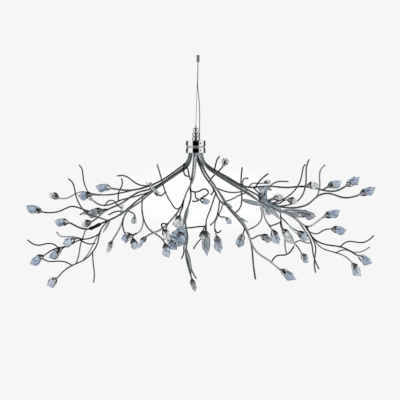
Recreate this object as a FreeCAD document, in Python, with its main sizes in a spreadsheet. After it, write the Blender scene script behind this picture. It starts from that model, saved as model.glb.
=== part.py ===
import FreeCAD, Part
import math
import os
import Sketcher
from FreeCAD import Vector

# Pendant light: chromed stems branch from a turned hub that hangs on one steel cable, with a
# glass bud and a capsule lamp at the end of most stems. Millimetres, +Z up, +X right, +Y away.
# The origin is the mouth of the threaded hole on top of the ceiling coupler.

os.makedirs("parts", exist_ok=True)
doc = FreeCAD.newDocument("pendant_light")
sheet = doc.addObject("Spreadsheet::Sheet", "sizes")

# Driving sizes: alias, value, what it is
SIZES = [
    ("spread_width", 1408, "width across the outermost buds"),
    ("half_depth", 300, "reach of the stems to the front and to the back"),
    ("seat_gap", 0.3, "running clearance between separate pieces"),
    ("solder_gap", 0.6, "film between two stems that are brazed side by side"),
    ("overrun", 1, "how far a cutting tool runs past the face that it cuts"),
    ("coupler_width", 12, "ceiling coupler, across"),
    ("coupler_height", 28, "ceiling coupler, top to bottom"),
    ("fixing_radius", 3, "threaded hole in the coupler's top"),
    ("fixing_length", 9, "depth of that threaded hole"),
    ("ball_radius", 3.8, "ball swaged on the steel cable"),
    ("ball_drop", 20, "centre of the ball below the coupler's top"),
    ("collar_hole", 3, "radius of the hole in the retaining collar"),
    ("collar_height", 5.4, "retaining collar, up into the coupler"),
    ("flange_inset", 1, "edge of that flange inside the coupler's side"),
    ("collar_flange", 1.2, "flange of the collar under the coupler"),
    ("cable_radius", 1, "steel suspension cable"),
    ("cable_drop", 283, "coupler's top to the top of the hub's nipple"),
    ("supply_radius", 1.6, "clear supply cable"),
    ("supply_spacing", 9, "supply cable behind the steel cable at the coupler"),
    ("supply_entry", 3.6, "radius of the supply cable's way through the coupler"),
    ("hub_shift", 9, "hub axis to the left of the ceiling coupler"),
    ("nipple_height", 10, "cable nipple above the swivel bead"),
    ("nipple_radius", 4.5, "cable nipple"),
    ("nipple_tip", 2.6, "radius of the cable nipple at its top"),
    ("swivel_height", 18, "swivel bead"),
    ("swivel_radius", 11, "swivel bead at its widest"),
    ("swivel_lip", 5, "floor of the swivel bead, under the tie rod's head"),
    ("middle_height", 15, "middle bead"),
    ("middle_radius", 14, "middle bead at its widest"),
    ("lower_height", 17, "lower bead"),
    ("lower_radius", 15, "lower bead at its widest"),
    ("neck_radius", 8.5, "beads at their necks"),
    ("bead_rim", 4, "height of a bead's sloping edge"),
    ("rod_radius", 3, "tie rod through the hub"),
    ("rod_head_radius", 5.5, "head of the tie rod inside the swivel bead"),
    ("rod_head_height", 4, "height of that head"),
    ("drum_radius", 39, "hub drum"),
    ("upper_height", 21, "upper drum"),
    ("drum_wall", 2.5, "wall and top of the upper drum"),
    ("spacer_height", 8, "bright waist between the drums"),
    ("spacer_radius", 37, "outside of that waist"),
    ("spacer_wall", 4, "wall of that waist"),
    ("base_height", 20, "lower drum, which holds the bough tubes"),
    ("drum_edge", 1.5, "chamfer of the drums' edges"),
    ("pitch_radius", 27, "circle on which the bough tubes stand"),
    ("socket_depth", 14, "how deep a bough tube stands in the lower drum"),
    ("nut_radius", 6, "tie nut under the hub, across its corners"),
    ("nut_height", 7, "tie nut"),
    ("gland_radius", 4.2, "flange of the supply gland"),
    ("gland_height", 8, "supply gland above the drum"),
    ("gland_mouth", 2.9, "radius of the gland's mouth"),
    ("gland_flange", 2, "height of the gland's flange"),
    ("gland_tail", 4.5, "the gland's tail inside the drum"),
    ("gland_tail_radius", 2.8, "radius of that tail"),
    ("gland_across", 15.4, "supply gland, right of the hub axis"),
    ("gland_behind", 13, "supply gland, behind the hub axis"),
    ("block_length", 26, "terminal block"),
    ("block_depth", 12, "terminal block"),
    ("block_height", 12, "terminal block"),
    ("block_behind", 8, "terminal block's front, behind the hub axis"),
    ("screw_radius", 2.8, "head of a hub screw"),
    ("screw_height", 1.6, "head of a hub screw"),
    ("screw_gap", 0.05, "hub screw's head off the drum's side"),
    ("tube_tail", 3, "straight length of a bough tube under the drum"),
    ("tube_radius", 3.6, "bough tube"),
    ("stem_radius", 2.9, "stem brazed to a bough tube"),
    ("twig_radius", 2.6, "twig brazed to a stem"),
    ("foot_length", 7, "foot of a stem, brazed along what carries it"),
    ("chord_sag", 1.9, "how far a straight length of stem may leave its curve"),
    ("sleeve_radius", 6.5, "junction sleeve on the left bough"),
    ("wire_radius", 1.8, "binding wire round the left bough"),
    ("coil_pitch", 7, "binding wire, turn to turn"),
    ("coil_gap", 0.5, "binding wire off the outermost rod that it goes round"),
    ("coil_tail", 12, "loose ends of the binding wire, bent away from the rods"),
    ("coil_most", 150, "widest half depth that the binding coil may have"),
    ("holder_length", 24, "lamp holder of a bud"),
    ("holder_radius", 10, "lamp holder at its mouth"),
    ("holder_foot", 3.8, "lamp holder at its foot"),
    ("lamp_radius", 4.2, "capsule lamp"),
    ("bud_radius", 17, "widest radius that a bud may have"),
    ("bud_reach", 4, "length of a bud and its holder for each pixel that they span"),
]

# Photograph's own measures, in its pixels
PHOTO_SPAN = 352
HUB_X = 195.8
HUB_UNDERSIDE_Y = 153
LAMP_BUD_PX = 10.5

# Proportions
BALL_SHARES = [(0, -1), (0.6, -0.8), (1, -0.3), (1, 0.3), (0.6, 0.8), (0, 1)]
BUD_SHARES = [(0, 0.52), (0.38, 1), (0.74, 0.7)]
BUD_WAIST_SHARE = 0.36
SMALL_HOLDER_SHARE = 0.55
LAMP_SHARE = 0.5
MOST_LEAN_SHARE = 0.5
COIL_HEIGHT_SHARE = 0.435
BOUGH_DEPTH_POWER = 1.8
STEM_DEPTH_POWER = 1.15

# Counts
TUBE_SIDES = 6
STEM_SIDES = 6
SCREW_SIDES = 8
LATHE_SIDES = 24
COIL_TURNS = 2.5
COIL_STEPS = 12
COIL_FIT_STEPS = 30

for row, (alias, value, note) in enumerate(SIZES, 1):
    sheet.set("A%d" % row, note)
    sheet.set("B%d" % row, str(value))
    sheet.setAlias("B%d" % row, alias)

# Levels along the hub axis, each worked out from the one above it
LEVELS = [
    ("swivel_foot_z", "=-cable_drop - nipple_height - swivel_height"),
    ("middle_foot_z", "=swivel_foot_z - seat_gap - middle_height"),
    ("lower_foot_z", "=middle_foot_z - lower_height"),
    ("upper_foot_z", "=lower_foot_z - upper_height"),
    ("spacer_foot_z", "=upper_foot_z - spacer_height"),
    ("underside_z", "=spacer_foot_z - base_height"),
    ("rod_foot_z", "=underside_z - nut_height"),
    ("rod_length", "=swivel_foot_z + swivel_lip + seat_gap - rod_foot_z"),
    ("head_room", "=swivel_lip + rod_head_height + 2 * seat_gap"),
    ("rod_bore", "=rod_radius + seat_gap"),
    ("ball_bore", "=ball_radius + seat_gap"),
]
for row, (alias, formula) in enumerate(LEVELS, len(SIZES) + 1):
    sheet.set("B%d" % row, formula)
    sheet.setAlias("B%d" % row, alias)
doc.recompute()


def size(alias):
    return float(sheet.get(alias))


MM_PER_PX = size("spread_width") / PHOTO_SPAN
HUB_AXIS_X = -size("hub_shift")
HUB_LEFT = "-sizes.hub_shift"
nodes = []


def keep(piece, label):
    piece.Label = label
    nodes.append(piece)
    return piece


def solids_piece(label, solids):
    piece = doc.addObject("Part::Feature", label)
    piece.Shape = Part.makeCompound(solids) if len(solids) > 1 else solids[0]
    piece.Placement = FreeCAD.Placement()
    return keep(piece, label)


def bind(piece, **formulas):
    for name, formula in formulas.items():
        piece.setExpression(name.replace("_", "."), formula)
    return piece


def place(piece, across, behind, level):
    return bind(piece, Placement_Base_x=across, Placement_Base_y=behind, Placement_Base_z=level)


# A turned piece from an outline of (radius, height) formulas
def turned(label, outline, level, across=HUB_LEFT, behind="0"):
    body = doc.addObject("PartDesign::Body", label)
    sketch = body.newObject("Sketcher::SketchObject", label + "_outline")
    plane = [p for p in body.Origin.OriginFeatures if p.Role == "XZ_Plane"][0]
    sketch.AttachmentSupport = (plane, "")
    sketch.MapMode = "FlatFace"
    count = len(outline)
    start = [Vector(1 + k, math.sin(k), 0) for k in range(count)]
    for k in range(count):
        sketch.addGeometry(Part.LineSegment(start[k], start[(k + 1) % count]), False)
    for k in range(count):
        sketch.addConstraint(Sketcher.Constraint("Coincident", k, 2, (k + 1) % count, 1))
    for k, formulas in enumerate(outline):
        for kind, formula in zip(("DistanceX", "DistanceY"), formulas):
            held = sketch.addConstraint(Sketcher.Constraint(kind, -1, 1, k, 1, 1))
            sketch.setExpression("Constraints[%d]" % held, formula)
    turn = body.newObject("PartDesign::Revolution", label + "_turn")
    turn.Profile = sketch
    turn.ReferenceAxis = (sketch, ["V_Axis"])
    turn.Angle = 360
    body.Tip = turn
    return place(body, across, behind, level)


# A small turned piece with flat sides, from an outline of (radius, height) in millimetres
def lathed(label, outline, level, across=None, behind=0):
    step = 2 * math.pi / LATHE_SIDES
    faces = []
    for (near, low), (far, high) in zip(outline, outline[1:] + outline[:1]):
        for k in range(LATHE_SIDES):
            corners = [Vector(radius * math.cos(turn), radius * math.sin(turn), height)
                       for radius, height, turn in ((near, low, k * step), (near, low, (k + 1) * step),
                                                    (far, high, (k + 1) * step), (far, high, k * step))]
            if near == 0:
                corners = corners[1:]
            if far == 0:
                corners = corners[:-1]
            if near or far:
                faces.append(Part.Face(Part.makePolygon(corners + corners[:1])))
    solid = Part.makeSolid(Part.makeShell(faces))
    if solid.Volume < 0:
        solid.reverse()
    piece = doc.addObject("Part::Feature", label)
    piece.Shape = solid
    across = HUB_AXIS_X if across is None else across
    piece.Placement = FreeCAD.Placement(Vector(across, behind, level), FreeCAD.Rotation())
    return keep(piece, label)


def cylinder(name, radius, length, across, behind, level):
    piece = doc.addObject("Part::Cylinder", name)
    bind(piece, Radius=radius, Height=length)
    return place(piece, across, behind, level)


def cut(label, base, tools):
    for tool in tools:
        result = doc.addObject("Part::Cut", label)
        result.Base = base
        result.Tool = tool
        base = result
    return base


# Ceiling coupler: a slim slotted block with the threaded hole, the ball's bore and the supply's way
def ceiling_coupler():
    wide = "sizes.coupler_width / 2"
    tall = "sizes.coupler_height"
    foot = "-sizes.coupler_height"
    front = cylinder("coupler_front", wide, tall, "0", "0", foot)
    rear = cylinder("coupler_rear", wide, tall, "0", "sizes.supply_spacing", foot)
    web = doc.addObject("Part::Box", "coupler_web")
    bind(web, Length="sizes.coupler_width", Width="sizes.supply_spacing", Height=tall)
    place(web, "-sizes.coupler_width / 2", "0", foot)
    block = doc.addObject("Part::MultiFuse", "coupler_block")
    block.Shapes = [front, rear, web]
    block.Refine = True
    fixing = cylinder("fixing_hole", "sizes.fixing_radius", "sizes.fixing_length + sizes.overrun",
                      "0", "0", "-sizes.fixing_length")
    bore_top = "sizes.coupler_height - sizes.ball_drop + sizes.ball_radius + sizes.seat_gap"
    ball_bore = cylinder("ball_bore", "sizes.ball_bore", bore_top + " + sizes.overrun",
                         "0", "0", foot + " - sizes.overrun")
    way = cylinder("supply_way", "sizes.supply_entry", tall + " + 2 * sizes.overrun",
                   "0", "sizes.supply_spacing", foot + " - sizes.overrun")
    keep(cut("coupler_cut", block, [fixing, ball_bore, way]), "ceiling_coupler")


def coupler_collar():
    flange = size("coupler_width") / 2 - size("flange_inset")
    lathed("coupler_collar", [
        (size("collar_hole"), -size("collar_flange")),
        (flange, -size("collar_flange")),
        (flange, 0),
        (size("ball_radius"), 0),
        (size("ball_radius"), size("collar_height")),
        (size("collar_hole"), size("collar_height")),
    ], -size("coupler_height"), across=0)


def cable_ball_end():
    radius = size("ball_radius")
    outline = [(out * radius, up * radius) for out, up in BALL_SHARES]
    lathed("cable_ball_end", outline, -size("ball_drop"), across=0)


def barrel(label, height, radius, level):
    lathed(label, [
        (size("rod_bore"), 0),
        (size("neck_radius"), 0),
        (radius, size("bead_rim")),
        (radius, height - size("bead_rim")),
        (size("neck_radius"), height),
        (size("rod_bore"), height),
    ], level)


def beads():
    lathed("cable_nipple", [
        (0, 0),
        (size("nipple_radius"), 0),
        (size("nipple_radius"), size("nipple_height") / 2),
        (size("nipple_tip"), size("nipple_height")),
        (0, size("nipple_height")),
    ], size("swivel_foot_z") + size("swivel_height"))
    head = size("rod_head_radius") + size("seat_gap")
    lathed("swivel_bead", [
        (size("rod_bore"), 0),
        (size("neck_radius"), 0),
        (size("swivel_radius"), size("bead_rim")),
        (size("swivel_radius"), size("swivel_height") - size("bead_rim")),
        (size("neck_radius"), size("swivel_height")),
        (0, size("swivel_height")),
        (0, size("head_room")),
        (head, size("head_room")),
        (head, size("swivel_lip")),
        (size("rod_bore"), size("swivel_lip")),
    ], size("swivel_foot_z"))
    barrel("middle_bead", size("middle_height"), size("middle_radius"), size("middle_foot_z"))
    barrel("lower_bead", size("lower_height"), size("lower_radius"), size("lower_foot_z"))


def hub():
    keep(turned("tie_rod", [
        ("0", "0"),
        ("sizes.rod_radius", "0"),
        ("sizes.rod_radius", "sizes.rod_length"),
        ("sizes.rod_head_radius", "sizes.rod_length"),
        ("sizes.rod_head_radius", "sizes.rod_length + sizes.rod_head_height"),
        ("0", "sizes.rod_length + sizes.rod_head_height"),
    ], "sizes.rod_foot_z"), "tie_rod")
    shell = turned("upper_drum_shell", [
        ("sizes.drum_radius - sizes.drum_wall", "0"),
        ("sizes.drum_radius", "0"),
        ("sizes.drum_radius", "sizes.upper_height - sizes.drum_edge"),
        ("sizes.drum_radius - sizes.drum_edge", "sizes.upper_height"),
        ("sizes.rod_bore", "sizes.upper_height"),
        ("sizes.rod_bore", "sizes.upper_height - sizes.drum_wall"),
        ("sizes.drum_radius - sizes.drum_wall", "sizes.upper_height - sizes.drum_wall"),
    ], "sizes.upper_foot_z")
    gland_x = "sizes.gland_across - sizes.hub_shift"
    hole = cylinder("gland_hole", "sizes.gland_tail_radius + sizes.seat_gap",
                    "sizes.drum_wall + 2 * sizes.overrun", gland_x, "sizes.gland_behind",
                    "sizes.lower_foot_z - sizes.drum_wall - sizes.overrun")
    keep(cut("upper_drum_cut", shell, [hole]), "hub_drum_upper")
    keep(turned("hub_spacer", [
        ("sizes.spacer_radius - sizes.spacer_wall", "0"),
        ("sizes.spacer_radius", "0"),
        ("sizes.spacer_radius", "sizes.spacer_height"),
        ("sizes.spacer_radius - sizes.spacer_wall", "sizes.spacer_height"),
    ], "sizes.spacer_foot_z"), "hub_spacer")
    lathed("supply_gland", [
        (0, -size("gland_tail")),
        (size("gland_tail_radius"), -size("gland_tail")),
        (size("gland_tail_radius"), 0),
        (size("gland_radius"), 0),
        (size("gland_radius"), size("gland_flange")),
        (size("gland_mouth"), size("gland_height")),
        (0, size("gland_height")),
    ], size("lower_foot_z"), HUB_AXIS_X + size("gland_across"), size("gland_behind"))
    block = doc.addObject("Part::Box", "terminal_block")
    bind(block, Length="sizes.block_length", Width="sizes.block_depth", Height="sizes.block_height")
    keep(place(block, HUB_LEFT + " - sizes.block_length / 2", "sizes.block_behind",
               "sizes.spacer_foot_z"), "terminal_block")
    nut = doc.addObject("Part::Prism", "nut_blank")
    nut.Polygon = 6
    bind(nut, Circumradius="sizes.nut_radius", Height="sizes.nut_height")
    place(nut, HUB_LEFT, "0", "sizes.rod_foot_z")
    nut_hole = cylinder("nut_hole", "sizes.rod_bore", "sizes.nut_height + 2 * sizes.overrun",
                        HUB_LEFT, "0", "sizes.rod_foot_z - sizes.overrun")
    keep(cut("nut_cut", nut, [nut_hole]), "hub_tie_nut")


# Angles of the hub's screws, from the right towards the back, the same on both drums
SCREW_ANGLES = (-62, 58, 178)


def hub_screws():
    heads = []
    upper = size("upper_foot_z") + size("upper_height") / 2
    lower = size("underside_z") + size("base_height") / 2
    for level in (upper, lower):
        for angle in SCREW_ANGLES:
            out = Vector(math.cos(math.radians(angle)), math.sin(math.radians(angle)), 0)
            foot = Vector(HUB_AXIS_X, 0, level) + out * (size("drum_radius") + size("screw_gap"))
            outline = ring(foot, out, size("screw_radius"), SCREW_SIDES)
            face = Part.Face(Part.makePolygon(outline + outline[:1]))
            heads.append(face.extrude(out * size("screw_height")))
    solids_piece("hub_screws", heads)


def flat_reach(radius, sides):
    return radius * math.cos(math.pi / sides)


# Corners of a flat-sided section, with one flat to the front and one to the back
def ring(centre, direction, radius, sides):
    across = direction.cross(Vector(0, 1, 0)).normalize()
    up = across.cross(direction).normalize()
    turns = [math.pi / 2 + (2 * k + 1) * math.pi / sides for k in range(sides)]
    return [centre + across * (radius * math.cos(a)) + up * (radius * math.sin(a)) for a in turns]


def faceted(rings, point=None):
    closed = [corners + corners[:1] for corners in rings]
    faces = [Part.Face(Part.makePolygon(closed[0]))]
    if point:
        ends = zip(closed[-1], closed[-1][1:])
        faces += [Part.Face(Part.makePolygon([a, b, point, a])) for a, b in ends]
    else:
        faces.append(Part.Face(Part.makePolygon(closed[-1])))
    for near, far in zip(closed, closed[1:]):
        for k in range(len(near) - 1):
            corners = [near[k], near[k + 1], far[k + 1], far[k], near[k]]
            faces.append(Part.Face(Part.makePolygon(corners)))
    solid = Part.makeSolid(Part.makeShell(faces))
    if solid.Volume < 0:
        solid.reverse()
    return solid


# A rod of straight lengths: each ring of corners lies in the plane that halves the turn, and the
# last one lies square to the end direction where one is given
def swept(points, radius, sides, end_way=None):
    ways = [(b - a).normalize() for a, b in zip(points, points[1:])]
    rings = [ring(points[0], ways[0], radius, sides)]
    for k in range(1, len(points)):
        last = ways[k - 1]
        plane = last + ways[k] if k < len(ways) else end_way or last
        rings.append([c + last * ((points[k] - c).dot(plane) / last.dot(plane)) for c in rings[-1]])
    return faceted(rings)


# A smooth curve through the points, and through the bud's tip beyond them where there is one
def bent(points, tip=None):
    curve = Part.BSplineCurve()
    curve.interpolate(Points=points + [tip] if tip else points)
    end = curve.parameter(points[-1]) if tip else curve.LastParameter
    return curve.toShape(curve.FirstParameter, end).discretize(Deflection=size("chord_sag"))


def at_pixel(px, py, depth):
    across = HUB_AXIS_X + (px - HUB_X) * MM_PER_PX
    level = size("underside_z") - (py - HUB_UNDERSIDE_Y) * MM_PER_PX
    return Vector(across, depth, level)


# Route through pixels, its depth running from the first to the last by share of its length
def route(start, pixels, end_share, power):
    flat = [start] + [at_pixel(px, py, start.y) for px, py in pixels]
    runs = [(b - a).Length for a, b in zip(flat, flat[1:])]
    end_depth = end_share * size("half_depth")
    gone = 0
    points = [start]
    for point, run in zip(flat[1:], runs):
        gone += run
        depth = start.y + (end_depth - start.y) * (gone / sum(runs)) ** power
        points.append(Vector(point.x, depth, point.z))
    slope = (end_depth - start.y) / sum(runs)
    return points, slope


# Bough tubes: name, angle on the hub's circle, depth share at the end, bud's tip, pixels
BOUGHS_PX = {
    "left_bough_tubes": [
        ("left_top", 196, -0.15, (95.5, 186),
         [(187, 161), (179, 168.3), (162.5, 179.8), (146, 187), (131, 190.2), (112, 188.5)]),
        ("left_long", 233, -0.34, (54.5, 220.8),
         [(188.3, 163), (180, 170.3), (163, 182.5), (150, 191.8), (139, 199.3), (127, 209.5),
          (115, 217.5), (101, 223.7), (88, 229), (79, 227.3), (70, 222.8)]),
        ("left_drop", 150, 0.3, (106, 254),
         [(186.3, 164.5), (173, 177), (150, 193.5), (137, 204), (127, 211.5), (121, 225),
          (112.5, 240)]),
        ("left_back", 127, 0.5, (80.5, 225.5),
         [(188.8, 164.5), (176, 174.5), (160, 184), (150, 189), (138, 192.5), (121, 203.5),
          (104, 211.5), (92, 221.5)]),
    ],
    "front_bough_tubes": [
        ("front_drop", 254, -0.5, (195, 292),
         [(193.5, 163), (191.7, 178), (190.5, 187), (190.8, 197), (187, 210), (185.5, 224),
          (187.5, 238), (186, 249), (188.5, 267), (191.5, 277.5)]),
        ("front_left", 275, -0.72, (135, 249),
         [(195.5, 165), (193, 180), (187, 192), (182, 205), (173.5, 217.5), (160, 230),
          (147, 236)]),
    ],
    "rear_bough_tubes": [
        ("rear_inner", 99, 0.3, (232.5, 207),
         [(198.6, 163), (205.3, 177), (213.8, 189), (219.2, 199.6), (225.5, 205)]),
        ("rear_drop", 80, 0.85, None,
         [(201.4, 165), (210.4, 180), (219.8, 193.8), (227, 206), (238, 219), (245.8, 229.5),
          (251.5, 245), (253.5, 264), (255.7, 279.5)]),
        ("rear_right", 42, 0.55, (297, 280),
         [(202.8, 166), (211.8, 181.5), (222, 196), (231, 209), (241, 219.5), (249, 235),
          (256.5, 251.5), (269, 260.5), (280, 269.5)]),
    ],
    "right_bough_tubes": [
        ("right_top", 328, -0.22, (359.5, 176.5),
         [(204.5, 161.5), (213, 169), (230, 178.7), (247, 187), (266, 186.3), (288, 187.5),
          (301, 186.5), (320, 189.5), (336, 190.8), (345, 186.5)]),
        ("right_back", 21, 0.38, (279.5, 244.5),
         [(205.8, 165.3), (217, 174.3), (236, 185.8), (253, 196), (262, 206), (265.5, 219),
          (272, 229)]),
        ("right_long", 357, 0.1, (376, 187),
         [(205.3, 164), (215, 171.8), (233, 182.2), (250, 191), (264, 199), (278, 206),
          (294, 207.7), (309, 203.5), (318, 196), (329, 193.5), (343, 197.5), (359, 195)]),
        ("right_front", 300, -0.5, (340, 210),
         [(204.6, 164.8), (216.5, 174.8), (235, 186.3), (253, 197.5), (268, 206.5), (285, 213),
          (298, 221), (308, 226.5), (315.5, 222.5), (323, 217)]),
    ],
}

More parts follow.
